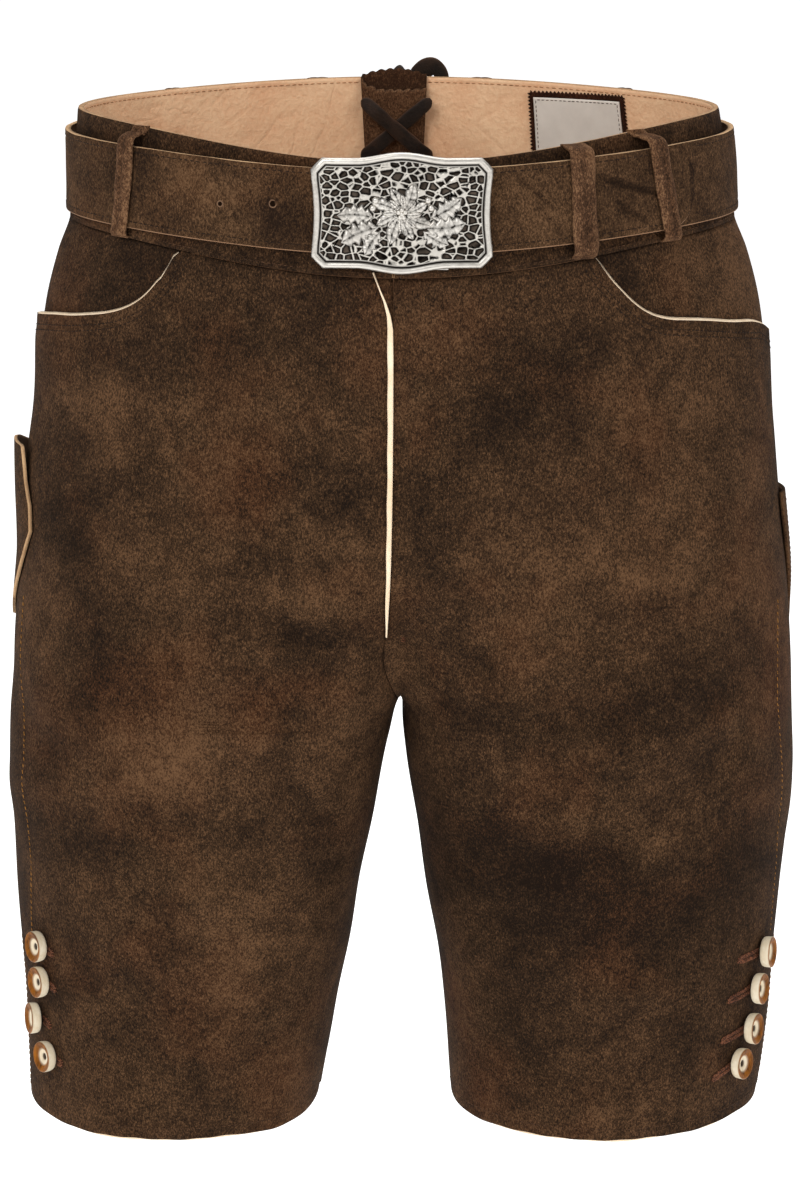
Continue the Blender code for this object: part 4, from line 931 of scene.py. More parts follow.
BELT_CLOUDS = (
    # turn, down, reach round the waist, reach down, depth
    (-0.34, 0.62, 0.12, 0.40, -1.0), (-0.62, 0.40, 0.13, 0.35, 0.5),
    (-0.47, 0.85, 0.10, 0.20, 0.4), (-0.95, 0.35, 0.15, 0.40, -0.6),
    (0.42, 0.55, 0.10, 0.50, 0.6), (0.74, 0.35, 0.14, 0.35, -0.3),
    (1.25, 0.45, 0.15, 0.35, -0.3), (2.0, 0.50, 0.30, 0.50, 0.4),
    (-2.2, 0.50, 0.30, 0.50, -0.4), (3.0, 0.40, 0.30, 0.40, 0.3),
)


def belt_tone(turn, down):
    """Dark handled places and paler worn ones, and painted shade in the folds' troughs with painted light
    on their lips.
    """
    tone = 0.55 * belt_crease(turn, down)
    for cloud_turn, cloud_down, wide, high, depth in BELT_CLOUDS:
        tone = tone + depth * bump(turn - cloud_turn, wide) * bump(down - cloud_down, high)
    return tone


belt_edge = raw_edge("belt_edge", rgb(150, 108, 70), rgb(222, 184, 138))
belt_suede = split_suede("belt_suede", rgb(31, 20, 13), rgb(63, 44, 28), rgb(101, 74, 51),
                         rgb(80, 52, 31), nap=0.24)
# The loops' suede is a lighter copy of the panels' suede: painted light, for the stronger light on the
# loops where they stand out.
lit_loop_suede = split_suede("lit_loop_suede", rgb(42, 28, 18), rgb(84, 58, 40), rgb(132, 99, 71),
                         rgb(100, 67, 42), nap=0.4)
down = np.array([0.0, 0.03, 0.06, 0.10, *np.linspace(0.14, 0.86, 20), 0.90, 0.94, 0.983, 1.0])
down = down[:, None]
turn = BELT_TIP + (BELT_END - 2 * math.pi - BELT_TIP) * np.linspace(0, 1, 640)[None, :]
past_tip = np.clip(1 - (BELT_TIP - turn) / (BELT_HIGH / 2 / WAIST_ROUND), 0, 1)
level = 0.5 + (down - 0.5) * np.sqrt(np.maximum(1 - past_tip ** 2.4, 0.10))
from_edge = np.minimum(down, 1 - down)
edge_roll = 0.55 * (bump(down * BELT_HIGH, 0.9) + bump((1 - down) * BELT_HIGH, 0.9))
waves = 0.25 * np.sin(turn * 17.0) * np.sin(level * 3.0)
stitch_groove = 0.3 * bump(from_edge - 0.09, 0.02)
points, normals = skin_round(turn, belt_top(turn) - BELT_HIGH * level,
                             belt_out(turn, level) - edge_roll + waves - stitch_groove)
belt = lay_grid("belt_strap_suede", points, normals)
thicken(belt, BELT_WALL - 0.2, belt_suede, flesh_side, belt_edge)
worn = 0.95 + 0.2 * np.sin(turn[0] * 23.0) * np.sin(turn[0] * 9.0)
pare(belt, points.shape[:2], top=worn, bottom=0.3 * worn, first=0.9, last=0.9, strip=True)
# Painted shade along the round tip's first columns, where its edge stands off the strap beneath.
tip_painted_shade = -0.9 * (np.arange(points.shape[1]) < 3)
keep_dye_and_shading(belt, wear_and_shading=both_layers(belt_tone(turn, level) + tip_painted_shade))
put_on(belt, None, "belt_strap", slot="suede")

# Two punched holes show on the wearer's right of the buckle: a tan lip round a dark disc of painted shade.
HOLE_LIP_THICK, HOLE_WELL_DEEP = 0.84, 0.5
hole_lip = raw_edge("hole_lip", rgb(74, 49, 32), rgb(134, 100, 70))
# A near-black disc in each hole: painted shade where the hole goes into the strap.
well_finish = Finish("hole_shade_disc")
well_colour = well_finish.mix(well_finish.noise(600.0), rgb(12, 7, 4), rgb(30, 19, 12))
hole_shade_disc = well_finish.surface(Base_Color=well_colour, Roughness=1.0, Specular_IOR_Level=0.0)
HOLES = ((-0.541, 0.54, 1.5), (-0.368, 0.47, 1.9))      # turn, down, radius
for number, (turn_at, down_at, wide) in enumerate(HOLES, start=1):
    centre, out = skin_round(turn_at, belt_top(np.array(turn_at)) - BELT_HIGH * down_at,
                             belt_out(np.array(turn_at), np.array(down_at)))
    centre, aim = Vector(centre * MM), Vector(out).to_track_quat("Z", "Y").to_euler()
    bpy.ops.object.select_all(action="DESELECT")
    bpy.ops.mesh.primitive_torus_add(
        major_segments=28, minor_segments=8, major_radius=wide * MM,
        minor_radius=HOLE_LIP_THICK / 2 * MM, location=centre, rotation=aim)
    lip = bpy.context.object
    lip.name = "belt_hole_lip_%d" % number
    bpy.ops.mesh.primitive_cylinder_add(vertices=28, radius=wide * MM, depth=HOLE_WELL_DEEP * MM,
                                        location=centre, rotation=aim)
    well = bpy.context.object
    well.name = "belt_hole_well_%d" % number
    for piece, finish in ((lip, hole_lip), (well, hole_shade_disc)):
        select_only(piece)
        bpy.ops.object.transform_apply(location=True, rotation=True, scale=True)
        bpy.ops.object.shade_smooth_by_angle(angle=math.radians(40))
        put_on(piece, finish, slot="cut_edge")


# ---------------------------------------------------------------- belt loops
# Folded suede strips, two layers thick with a groove along the middle, sewn into the
# waistband's top and turned under at its seam. The belt passes through them.
LOOP_WIDE, LOOP_WALL, LOOP_LAYER = 12.0, 3.0, 1.2
LOOP_ROWS, LOOP_COLUMNS = 60, 15
LOOPS = (
    # name, side, angle at the top and at the foot, share of the strap's lap that it goes over
    ("belt_loop_front_right", RIGHT, -0.68, -0.61, 0.0),
    ("belt_loop_front_left", LEFT, -1.03, -1.03, 1.0),
    ("belt_loop_side_left", LEFT, -0.78, -0.68, 1.0),
    ("belt_loop_back_right", RIGHT, 0.75, 0.75, 0.0),
    ("belt_loop_back_left", LEFT, 0.75, 0.75, 0.0),
    ("belt_loop_vent_right", RIGHT, 1.30, 1.30, 0.0),
    ("belt_loop_vent_left", LEFT, 1.30, 1.30, 0.0),
)


def loop_path(side, angle, lap):
    """Inner face of a loop from top to bottom: distance off the waistband, and height."""
    top = float(belt_top(np.array(side * (angle + math.pi / 2))))
    low, seam = top - BELT_HIGH, float(waist_seam(np.array(angle))) + 0.4
    start = float(waist_top(np.array(angle))) - 0.6
    bend = min(top + 5.0, start - 2.2)
    heights = np.array((start, bend, (bend + top + 1.2) / 2, top + 1.2, top - 12.0,
                        top - BELT_HIGH / 2, low + 12.0, low - 0.9, (low - 0.9 + seam) / 2, seam))
    shares = np.array((0.0, 0.0, 0.5, 1.0, 1.0, 1.0, 1.0, 1.0, 0.55, 0.0))
    face = belt_stand(np.clip((top - heights) / BELT_HIGH, 0, 1)) + BELT_WALL
    over = face + BELT_LAP * lap + 2 * SEAM_GAP
    return SEAM_GAP + (over - SEAM_GAP) * shares, heights


for name, side, top_angle, low_angle, lap in LOOPS:
    near_out, near_z = loop_path(side, (top_angle + low_angle) / 2, lap)
    run = unit(np.stack((np.gradient(near_out), np.gradient(near_z)), axis=-1))
    thick = LOOP_WALL * np.array((0.35, *[1.0] * (len(near_z) - 2), 0.35))
    station = np.linspace(0, len(near_z) - 1, LOOP_ROWS)
    counts = -np.arange(len(near_z), dtype=float)
    far_out = np.maximum(near_out - run[:, 1] * thick, 2 * SEAM_GAP)
    out_line = read_smoothly(counts, far_out, -station)
    z_line = read_smoothly(counts, near_z + run[:, 0] * thick, -station)
    across = np.linspace(-1, 1, LOOP_COLUMNS)
    ridge = 0.35 * bump(np.abs(across) - 0.45, 0.35) - 0.55 * bump(across, 0.12)
    ridge = ridge - 2.3 * np.abs(across) ** 2.8
    middle = top_angle + (low_angle - top_angle) * station / station[-1]
    ragged = 1 + 0.035 * np.sin(station * 1.7 + top_angle * 9) + 0.02 * np.sin(station * 4.1)
    angle = middle[:, None] + LOOP_WIDE / 2 / WAIST_ROUND * across[None, :] * ragged[:, None]
    points, normals = skin_round(side * (angle + math.pi / 2), z_line[:, None],
                                 out_line[:, None] + ridge[None, :])
    piece = lay_grid(name + "_suede", points, normals)
    thicken(piece, LOOP_LAYER, lit_loop_suede)
    # Painted light and shade: each loop is lighter along its rounded edges and darker down the groove in
    # its middle.
    painted_edge_light = 0.4 * np.cos(2 * math.pi * np.linspace(0, 1, LOOP_COLUMNS))
    keep_values(piece, "tone", np.tile(painted_edge_light, 2 * LOOP_ROWS))
    put_on(piece, None, name, slot="suede")


# ---------------------------------------------------------------- buckle
# A cast plate of aged silver on the strap: a bright bevelled rim, a sunk ground with a pebbled net left
# dark by patina, with painted shade and painted highlights on its pebbles, and an edelweiss between two
# oak sprigs in low relief.
BUCKLE_HALF_WIDE, BUCKLE_HALF_HIGH, BUCKLE_CROWN, BUCKLE_WAIST = 47.0, 28.5, 3.0, 1.6
BUCKLE_CHAMFER, BUCKLE_WALL, BUCKLE_RECESS = 6.0, 2.4, 1.2
BUCKLE_CENTRE, BUCKLE_BEND, BUCKLE_STAND = (1.0, -42.5), 420.0, 2.4


def buckle_outline(inset):
    """The plate's edge: crowned top and bottom, cut corners and hollow short sides."""
    wide, high = BUCKLE_HALF_WIDE - inset, BUCKLE_HALF_HIGH - inset
    cut = BUCKLE_CHAMFER - inset * 0.5
    quarter = []
    for share in (0.0, 0.09, 0.18, 0.27, 0.36, 0.46, 0.55, 0.66, 0.78, 0.90):
        crown = BUCKLE_CROWN * math.cos(min(share / 0.6, 1.0) * math.pi / 2) ** 2
        quarter.append((share * (wide - cut), high + crown))
    quarter += [(wide - cut, high + 0.1), (wide - cut * 0.5, high - cut * 0.47),
                (wide - 0.1, high - cut), (wide - 0.3, high - cut - 4.0),
                (wide - BUCKLE_WAIST * 0.5, high * 0.5), (wide - BUCKLE_WAIST * 0.8, high * 0.3),
                (wide - BUCKLE_WAIST, 0.0)]
    low_right = [(x, -z) for x, z in reversed(quarter[:-1])]
    low_left = [(-x, -z) for x, z in quarter[1:]]
    high_left = [(-x, z) for x, z in reversed(quarter[1:-1])]
    return np.array(quarter + low_right + low_left + high_left)


strap_stand = float(belt_stand((belt_top(np.array(0.0)) - BUCKLE_CENTRE[1]) / BELT_HIGH))
buckle_face = skin_round(0.0, BUCKLE_CENTRE[1],
                         strap_stand + BELT_WALL + BELT_LAP + BUCKLE_STAND)[0][1]


def on_buckle(x, z, out):
    """A place on the plate, from its middle: it bends a little round the belly."""
    return np.stack((BUCKLE_CENTRE[0] + x, buckle_face - out + x * x / (2 * BUCKLE_BEND),
                     BUCKLE_CENTRE[1] + z), axis=-1)


def aged_silver(name, bright, dull, patina, rough):
    """Cast silver: brushed bright on the high places, blackened in the hollows by patina and painted
    shade, and on the plate's outer bevel by painted shade.
    """
    silver = Finish(name)
    scratch = silver.noise(700.0, 3.0, 0.7, place=silver.stretched((0.35, 1.0, 1.0)))
    cloud = silver.noise(60.0, 4.0, 0.6)
    hollow = silver.attribute("hollow").clip()
    shine = silver.mix((cloud * 0.5 + scratch * 0.3).clip(), dull, bright)
    pits = ((silver.noise(330.0, 4.0, 0.7) - 0.5) * 2.4).clip() * silver.attribute("cast")
    colour = silver.mix((hollow + cloud * 0.2 - 0.08 + pits * 0.75).clip(), shine, patina)
    return silver.surface(Base_Color=colour, Metallic=1.0, Normal=silver.relief(scratch, 0.08, 0.5),
                          Roughness=(rough + scratch * 0.12 + hollow * 0.25).clip())


bright_silver = aged_silver("bright_silver", rgb(244, 240, 232), rgb(166, 159, 150),
                            rgb(26, 22, 19), 0.32)


def pebbled_ground():
    """The sunk ground: a raised silver net round small dark pits, whose corners are rounded."""
    ground = Finish("pebbled_ground")
    cells = {"Vector": ground.stretched((0.85, 1.0, 1.15)), "Scale": 235.0, "Randomness": 0.9}
    edges = ground.node("ShaderNodeTexVoronoi", {"feature": "DISTANCE_TO_EDGE"}, cells)
    middles = ground.node("ShaderNodeTexVoronoi", {"feature": "F1"}, cells)
    wobble = (ground.noise(420.0, 2.0) - 0.5) * 0.06
    edge = edges.out("Distance") + wobble
    round_off = ((middles.out("Distance") + wobble - 0.72) * 6.0).clip()
    net = (1.0 - ((edge - 0.04) * 13.0).clip() + round_off).clip()
    dome = ((edge - 0.17) * 5.0).clip()
    cloud = ground.noise(90.0, 3.0)
    # The pebbles are dark with patina, painted darker still at their borders as painted shade and lighter
    # in their middles as a painted highlight on each dome.
    pebble = ground.mix((dome * (0.2 + cloud * 0.7)).clip(), rgb(14, 11, 9), rgb(96, 85, 75))
    colour = ground.mix((net * (0.75 + cloud * 0.35)).clip(), pebble, rgb(214, 208, 198))
    return ground.surface(Base_Color=colour, Metallic=1.0, Roughness=0.46 - net * 0.1,
                          Normal=ground.relief(net + dome * 0.5, 0.5, 1.0))


silver_ground = pebbled_ground()


def rings_piece(name, rings):
    """A turned or cast form from nested outlines: a circle, extruded ring by ring.

    Gives the piece, and at each point the number of the ring that it lies on.
    """
    count = len(rings[0])
    bpy.ops.object.select_all(action="DESELECT")
    bpy.ops.mesh.primitive_circle_add(vertices=count, radius=1.0, fill_type="NGON")
    piece = bpy.context.object
    piece.name = piece.data.name = name
    bpy.ops.object.mode_set(mode="EDIT")
    bpy.ops.mesh.select_all(action="SELECT")
    for _ in rings[1:]:
        bpy.ops.mesh.extrude_region_move(TRANSFORM_OT_translate={"value": (0.0, 0.0, 1.0)})
    bpy.ops.object.mode_set(mode="OBJECT")
    flat = read_points(piece)
    level = np.rint(flat[:, 2]).astype(int)
    spoke = np.rint(np.arctan2(flat[:, 0], flat[:, 1]) / (2 * math.pi) * count).astype(int) % count
    move_points(piece, np.asarray(rings)[level, spoke] * MM)
    bpy.ops.object.mode_set(mode="EDIT")
    bpy.ops.mesh.select_all(action="SELECT")
    bpy.ops.mesh.normals_make_consistent(inside=False)
    bpy.ops.object.mode_set(mode="OBJECT")
    return piece, level


def plate_ring(inset, out):
    outline = buckle_outline(inset)
    return on_buckle(outline[:, 0], outline[:, 1], out)


high = BUCKLE_WALL + BUCKLE_RECESS
PLATE = np.array((
    # inset, out, darkening (painted shade on the outer bevel, patina and painted shade at the rim's inner
    # foot): from the back edge over the rim and down to the ground's middle
    (1.0, 0.0, 0.8), (0.3, 0.15, 0.6), (0.0, 0.8, 0.25), (0.0, high - 1.6, 0.0),
    (0.35, high - 0.7, 0.0), (1.0, high - 0.1, 0.0), (1.7, high, 0.0), (2.5, high - 0.15, 0.0),
    (3.0, high - 0.55, 0.35), (3.35, BUCKLE_WALL + 0.2, 1.0), (3.7, BUCKLE_WALL, 1.2),
    (4.6, BUCKLE_WALL, 0.0), (9.0, BUCKLE_WALL, 0.0), (15.0, BUCKLE_WALL, 0.0),
    (22.0, BUCKLE_WALL, 0.0),
))
FIRST_GROUND_RING = 11
plate, level = rings_piece("buckle_plate_cast", [plate_ring(*row[:2]) for row in PLATE])
keep_values(plate, "hollow", PLATE[level, 2])
plate.data.materials.append(bright_silver)
put_on(plate, silver_ground, "buckle_plate", slot="silver")
for face in plate.data.polygons:
    on_ground = min(level[index] for index in face.vertices) >= FIRST_GROUND_RING
    face.material_index = 1 if on_ground else 0
    face.use_smooth = True
plate.data.set_sharp_from_angle(angle=math.radians(55))

# Outlines of a leaf and a petal: share of the length, half width as a share of it.
LEAF = ((0.0, 0.0), (0.10, 0.10), (0.20, 0.22), (0.27, 0.14), (0.38, 0.30), (0.47, 0.17),
        (0.58, 0.31), (0.67, 0.16), (0.78, 0.24), (0.88, 0.14), (1.0, 0.0))
PETAL = ((0.0, 0.03), (0.15, 0.10), (0.35, 0.155), (0.6, 0.17), (0.8, 0.13), (0.93, 0.06),
         (1.0, 0.0))


def relief_blade(name, shape, base, turn, long, fat, rise):
    """One leaf or petal in low relief, with a hollow along its middle and slanting veins."""
    shape = np.array(shape)
    along = np.interp(np.linspace(0, 1, 34), np.linspace(0, 1, len(shape)), shape[:, 0])[:, None]
    half = np.interp(along, shape[:, 0], shape[:, 1]) * fat
    across = np.linspace(-1, 1, 9)[None, :]
    x, y = along * long, half * long * across
    veins = np.sin(along * 26 - np.abs(across) * 2.5)
    lift = rise * np.sqrt(np.clip(1 - across ** 2, 0, 1)) * np.minimum(1, half * 9)
    lift = lift * (1 + 0.16 * veins) - 0.22 * bump(across, 0.18) * (half > 0.02)
    swirl = turn + 0.25 * along
    points = on_buckle(base[0] + x * np.cos(swirl) - y * np.sin(swirl),
                       base[1] + x * np.sin(swirl) + y * np.cos(swirl), BUCKLE_WALL - 0.05 + lift)
    piece = lay_grid(name, points, np.broadcast_to((0.0, -1.0, 0.0), points.shape))
    # The blade is painted darker at its edges, down its middle and along its veins: patina that gathers
    # there, deepened as painted shade.
    hollow = (0.9 * smooth_step((np.abs(across) - 0.6) / 0.35) + 0.7 * bump(across, 0.16)
              + 0.55 * smooth_step(-veins - 0.35) - 0.15)
    keep_values(piece, "hollow", hollow[::-1].ravel())
    keep_values(piece, "cast", 1.0)
    return piece


blades = []
PETAL_RINGS = ((0.2, (12.5, 15.0), 1.2), (0.59, (8.5, 8.5), 1.7))       # turn, lengths, rise
for ring, (start, lengths, rise) in enumerate(PETAL_RINGS):
    for number in range(8):
        turn = start + 2 * math.pi * (number + 8 * ring) / 8
        base = (2.0 * math.cos(turn), 2.0 * math.sin(turn))
        blades.append(relief_blade("petal_%d" % (number + 8 * ring), PETAL, base, turn,
                                   lengths[number % 2], 1.4, rise))
OAK_LEAVES = ((11.0, -9.0, -0.75, 15.0), (12.0, -7.0, -0.15, 21.0), (14.5, -2.0, 0.30, 19.0))
for sign in (-1, 1):
    for number, (x, z, turn, long) in enumerate(OAK_LEAVES):
        aim = turn if sign > 0 else math.pi - turn
        blades.append(relief_blade("oak_%d_%d" % (sign, number), LEAF, (sign * x, z), aim, long,
                                   1.05, 1.1 + 0.15 * number))
HEART = ((0.0, 0.0), (1.7, 0.9), (-1.7, 0.9), (0.9, -1.7), (-0.9, -1.7), (0.0, 2.1))
ACORNS = ((-15.0, 3.0), (15.0, 3.0), (-13.5, 7.0), (13.5, 7.0))
for places, radius, out in ((HEART, 1.35, 1.3), (ACORNS, 1.8, 0.4)):
    for x, z in places:
        bpy.ops.object.select_all(action="DESELECT")
        bpy.ops.mesh.primitive_uv_sphere_add(segments=18, ring_count=10, radius=radius * MM,
                                             location=on_buckle(x, z, BUCKLE_WALL + out) * MM)
        bpy.ops.object.shade_smooth()
        bpy.ops.object.transform_apply(location=True, rotation=True, scale=True)
        keep_values(bpy.context.object, "hollow", 0.0)
        blades.append(bpy.context.object)
select_only(*blades)
bpy.ops.object.join()
blades[0].name = blades[0].data.name = "buckle_edelweiss_relief"
put_on(blades[0], bright_silver, slot="silver")

# The hook block cast on the plate's back shows just below the strap.
hook_low = BUCKLE_CENTRE[1] - BUCKLE_HALF_HIGH - 1.2
rings = []
for depth, soft in ((1.6, 0.4), (1.9, 0.0), (4.6, 0.0), (5.0, 0.4)):
    x = np.array((14.0 + soft, 25.0 - soft, 25.0 - soft, 14.0 + soft))
    z = hook_low + np.array((5.0, 5.0, soft, soft))
    rings.append(np.stack((x, np.full(4, buckle_face + depth), z), axis=-1))
hook, _ = rings_piece("buckle_hook_cast", rings)
keep_values(hook, "hollow", 0.0)
put_on(hook, bright_silver, "buckle_hook", slot="silver")


# ---------------------------------------------------------------- fly
# The wearer's left front laps over the right. Its raw cut edge shows as a cream strip that
# narrows to a point at the foot of the fly.
FLY_WALL = 1.2
FLY_EDGE = np.array((
    # height, the strip's right edge and its left edge from the middle plane
    (-74.6, -14.3, -13.7), (-79.0, -12.6, -12.0), (-84.0, -10.6, -9.9), (-90.0, -8.3, -7.2),
    (-97.0, -6.9, -4.8), (-104.0, -6.6, -3.6), (-120.0, -6.5, -3.4), (-150.0, -6.6, -3.6),
    (-180.0, -6.8, -3.9), (-205.0, -7.2, -4.4), (-230.0, -7.7, -5.1), (-250.0, -8.1, -6.0),
    (-264.0, -8.4, -6.9), (-274.0, -8.3, -7.6),
))
z = np.linspace(FLY_EDGE[0, 0], FLY_EDGE[-1, 0], 150)[:, None]
across = np.linspace(0, 1, 7)[None, :]
right, left = (np.interp(-z, -FLY_EDGE[:, 0], FLY_EDGE[:, column]) for column in (1, 2))
x = right + (left - right) * across + 0.12 * np.sin(z * 0.23) * (1 - across)
arch = (0.5 * np.sin(math.pi * across) ** 0.7 + 0.2 * across) * np.minimum(1, (left - right) / 3)
points, normals = skin(RIGHT, front_angle(RIGHT, -x, z), z, SEAM_GAP + 1.3 + arch)
fly = lay_grid("fly_edge_cut", points, normals)
thicken(fly, FLY_WALL, cream_edge)
put_on(fly, None, "fly_edge", slot="cut_edge")


# ---------------------------------------------------------------- side pockets
# A narrow sheath pocket for a knife sits over the wearer's right side seam, open at the top,
# its front edge cut raw. A flat patch pocket covers the seat on the wearer's left.
KNIFE_FRONT = np.array(((-187.0, -0.21), (-205.0, -0.25), (-217.0, -0.325), (-231.0, -0.355),
                        (-246.0, -0.28), (-260.0, -0.20), (-289.0, 0.03)))
KNIFE_TOP, KNIFE_LOW = KNIFE_FRONT[0, 0], KNIFE_FRONT[-1, 0]
KNIFE_BACK, KNIFE_SLANT, KNIFE_STAND = 0.34, 11.0, 6.4


def knife_front(down):
    z = KNIFE_TOP + (KNIFE_LOW - KNIFE_TOP) * down
    return np.interp(-z, -KNIFE_FRONT[:, 0], KNIFE_FRONT[:, 1])


def knife_mouth(angle):
    return KNIFE_TOP - KNIFE_SLANT * smooth_step(angle / KNIFE_BACK)


def knife_place(along, down):
    angle = knife_front(down) + (KNIFE_BACK - knife_front(down)) * along
    return angle, knife_mouth(angle) + (KNIFE_LOW - knife_mouth(angle)) * down


def knife_lift(angle, z):
    """The pocket stands open at its mouth and lies flat from about two thirds down."""
    down = np.clip((knife_mouth(angle) - z) / (knife_mouth(angle) - KNIFE_LOW), 0, 1)
    along = np.clip((angle - knife_front(down)) / (KNIFE_BACK - knife_front(down)), 0, 1)
    open_edge = 0.6 * (1 - along) * (1 - 3 * down)
    swell = np.maximum(np.sin(math.pi * along) ** 0.5, open_edge)
    swell = swell * np.maximum(0, 1 - down / 0.62) ** 1.3
    return 2 * SEAM_GAP + KNIFE_STAND * swell + LEATHER


knife = laid_on_skin("knife_pocket_suede", RIGHT, 64, 44, knife_place, knife_lift, LEATHER,
                     edge=belt_edge, first=1.15, top=0.3)
put_on(knife, None, "knife_pocket", slot="suede")


SEAT_TOP, SEAT_HIGH, SEAT_TUCK = -214.0, 158.0, 1.1


def seat_outer(down):
    return -0.16 + 0.42 * smooth_step(down * 1.1)


def seat_place(along, down):
    sag = np.sin(math.pi * along)
    z = SEAT_TOP - 5.0 * sag - (SEAT_HIGH + 15.0 * sag) * down
    inner = -front_angle(LEFT, 112.0 + 8.0 * down, z)
    return seat_outer(down) + (inner - seat_outer(down)) * along, z


def seat_lift(angle, z):
    """The pocket stands a little off the seat, and its outer edge is sewn down."""
    stand = 0.9 + 0.8 * smooth_step((z + 330.0) / 80.0) + 0.3 * np.sin(angle * 17)
    edge = seat_outer((SEAT_TOP - z) / SEAT_HIGH)
    return stand + LEATHER - SEAT_TUCK * bump(angle - edge, 0.035)


# Painted light along the pocket's outer edge, lightening the shade where it stands off the seat.
def seat_tone(along, down):
    return bump(along, 0.05)


seat = laid_on_skin("seat_pocket_suede", LEFT, 66, 70, seat_place, seat_lift, LEATHER, tone=seat_tone)
put_on(seat, None, "seat_pocket", slot="suede")


# ---------------------------------------------------------------- side slits and buttons
# Each leg is slit at the side above the hem, over a strip of the same suede. Four turned horn
# buttons close it through slanted buttonholes worked in reddish-brown thread.
PLACKET_FRONT, PLACKET_TURN, PLACKET_WALL = -0.30, 0.45, 1.6


def placket_place(along, down):
    return PLACKET_FRONT + PLACKET_TURN * along, HEM_Z + 2.0 + (SLIT_TOP - HEM_Z) * (1 - down)


def placket_lift(angle, z):
    return -LEATHER - 0.9


for side, side_word in ((RIGHT, "right"), (LEFT, "left")):
    piece = laid_on_skin("slit_placket_%s_suede" % side_word, side, 42, 30, placket_place,
                         placket_lift, PLACKET_WALL)
    put_on(piece, None, "slit_placket_" + side_word, slot="suede")


def turned_horn():
    """Horn with an ivory wall and centre, and a translucent amber ring streaked with brown."""
    horn = Finish("turned_horn")
    amber = horn.attribute("amber").clip()
    streak = horn.noise(260.0, 4.0, 0.7, place=horn.stretched((1.0, 1.0, 0.3)), twist=1.2)
    cloud = horn.noise(90.0, 3.0)
    ivory = horn.mix(streak * 0.5 + cloud * 0.3, rgb(238, 228, 206), rgb(200, 174, 132))
    brown = horn.mix((streak * 0.9 + cloud * 0.4).clip(), rgb(172, 102, 16), rgb(70, 37, 6))
    # The centre pit is painted near black: painted shade down in the hole.
    pit_shade = horn.attribute("pit_shade").clip()
    colour = horn.mix(pit_shade, horn.mix(amber, ivory, brown), rgb(40, 24, 14))
    return horn.surface(Base_Color=colour, Roughness=0.42 + streak * 0.15, Coat_Weight=0.02,
                        Coat_Roughness=0.2, Specular_IOR_Level=0.12,
                        Normal=horn.relief(streak, 0.06, 0.4))


button_horn = turned_horn()
BUTTON_WIDE, BUTTON_DEEP, BUTTON_GAP = 17.5, 5.8, 0.65
BUTTONS = {
    # height, angle round the leg, and how far the button is tipped outwards
    RIGHT: ((-467.0, -0.59, 0.0), (-488.0, -0.61, 0.05),
            (-512.6, -0.53, 0.17), (-533.0, -0.64, 0.02)),
    LEFT: ((-473.0, -0.495, 0.14), (-493.0, -0.575, 0.15),
           (-516.4, -0.615, 0.15), (-535.5, -0.695, 0.12)),
}
BUTTON_PROFILE = np.array((
    # radius and height as shares, amber, painted shade in the centre pit: from the back over the rim to
    # the middle
    (0.50, 0.00, 0, 0), (0.80, 0.00, 0, 0), (0.89, 0.04, 0, 0), (0.94, 0.10, 0, 0),
    (0.975, 0.24, 0, 0), (0.99, 0.40, 0, 0), (0.995, 0.62, 0, 0), (1.00, 0.80, 0, 0),
    (1.00, 0.87, 0.1, 0), (0.985, 0.95, 0.9, 0), (0.94, 1.00, 1, 0), (0.86, 0.96, 1, 0),
    (0.72, 0.86, 1, 0), (0.62, 0.78, 1, 0), (0.54, 0.71, 0.7, 0), (0.46, 0.64, 0, 0),
    (0.34, 0.61, 0, 0), (0.25, 0.58, 0, 0.1), (0.20, 0.50, 0, 0.9), (0.12, 0.34, 0, 1),
))
SPOKES = 40
for side, side_word in ((RIGHT, "right"), (LEFT, "left")):
    for number, (z, angle, outward) in enumerate(BUTTONS[side], start=1):
        lean = BUTTON_WIDE * 0.34 * math.sin(outward)
        foot = skin(side, np.array(angle), np.array(z), BUTTON_GAP + lean)[0]
        facing = oval_normal(side, angle, z)
        bearing = math.atan2(facing[1], facing[0]) + side * outward
        axis = unit(np.array((math.cos(bearing), math.sin(bearing), 0.05)))
        beside = unit(np.cross(axis, (0.0, 0.0, 1.0)))
        upward = np.cross(beside, axis)
        spin = 2 * math.pi * np.arange(SPOKES) / SPOKES + number
        spokes = beside * np.cos(spin)[:, None] + upward * np.sin(spin)[:, None]
        rings = [foot + spokes * radius * BUTTON_WIDE / 2 + axis * high * BUTTON_DEEP
                 for radius, high in BUTTON_PROFILE[:, :2]]
        button, level = rings_piece("button_%s_%d_horn" % (side_word, number), rings)
        keep_values(button, "amber", BUTTON_PROFILE[level, 2])
        keep_values(button, "pit_shade", BUTTON_PROFILE[level, 3])
        shade_round(button.data)
        put_on(button, button_horn, "button_%s_%d" % (side_word, number), slot="horn")


# ---------------------------------------------------------------- back vent, lacing and label
# A brown gusset with scalloped top fills the open vent. The thong crosses inside it, and is
# tied in a bow outside. A plain label on a pinked dark backing is sewn to the lining.
gusset_suede = split_suede("gusset_suede", rgb(54, 34, 22), rgb(90, 62, 42), rgb(124, 90, 64),
                           rgb(98, 64, 41), nap=0.2)
GUSSET_TOP, GUSSET_LOW, GUSSET_MIDDLE = {"far": 3.0, "near": -4.6}, -52.0, -3.0
GUSSET_HALF, GUSSET_HALF_LOW, GUSSET_OPEN = 18.6, 15.6, 5.0


def gusset_half(down):
    """The insert's half width, which narrows downwards."""
    return GUSSET_HALF + (GUSSET_HALF_LOW - GUSSET_HALF) * down


def gusset_hollow(across, down):
    """How far the insert's two layers stand apart."""
    return 0.5 + GUSSET_OPEN * (1 - across ** 2) * (1 - down) ** 1.5


def gusset_front(x, z):
    """Depth of the near layer's face, from the skin."""
    down = np.clip((GUSSET_TOP["near"] - z) / (GUSSET_TOP["near"] - GUSSET_LOW), 0, 1)
    across = np.clip((x - GUSSET_MIDDLE) / gusset_half(down), -1, 1)
    return -WAISTBAND_WALL - SEAM_GAP - 2 * LEATHER - gusset_hollow(across, down)


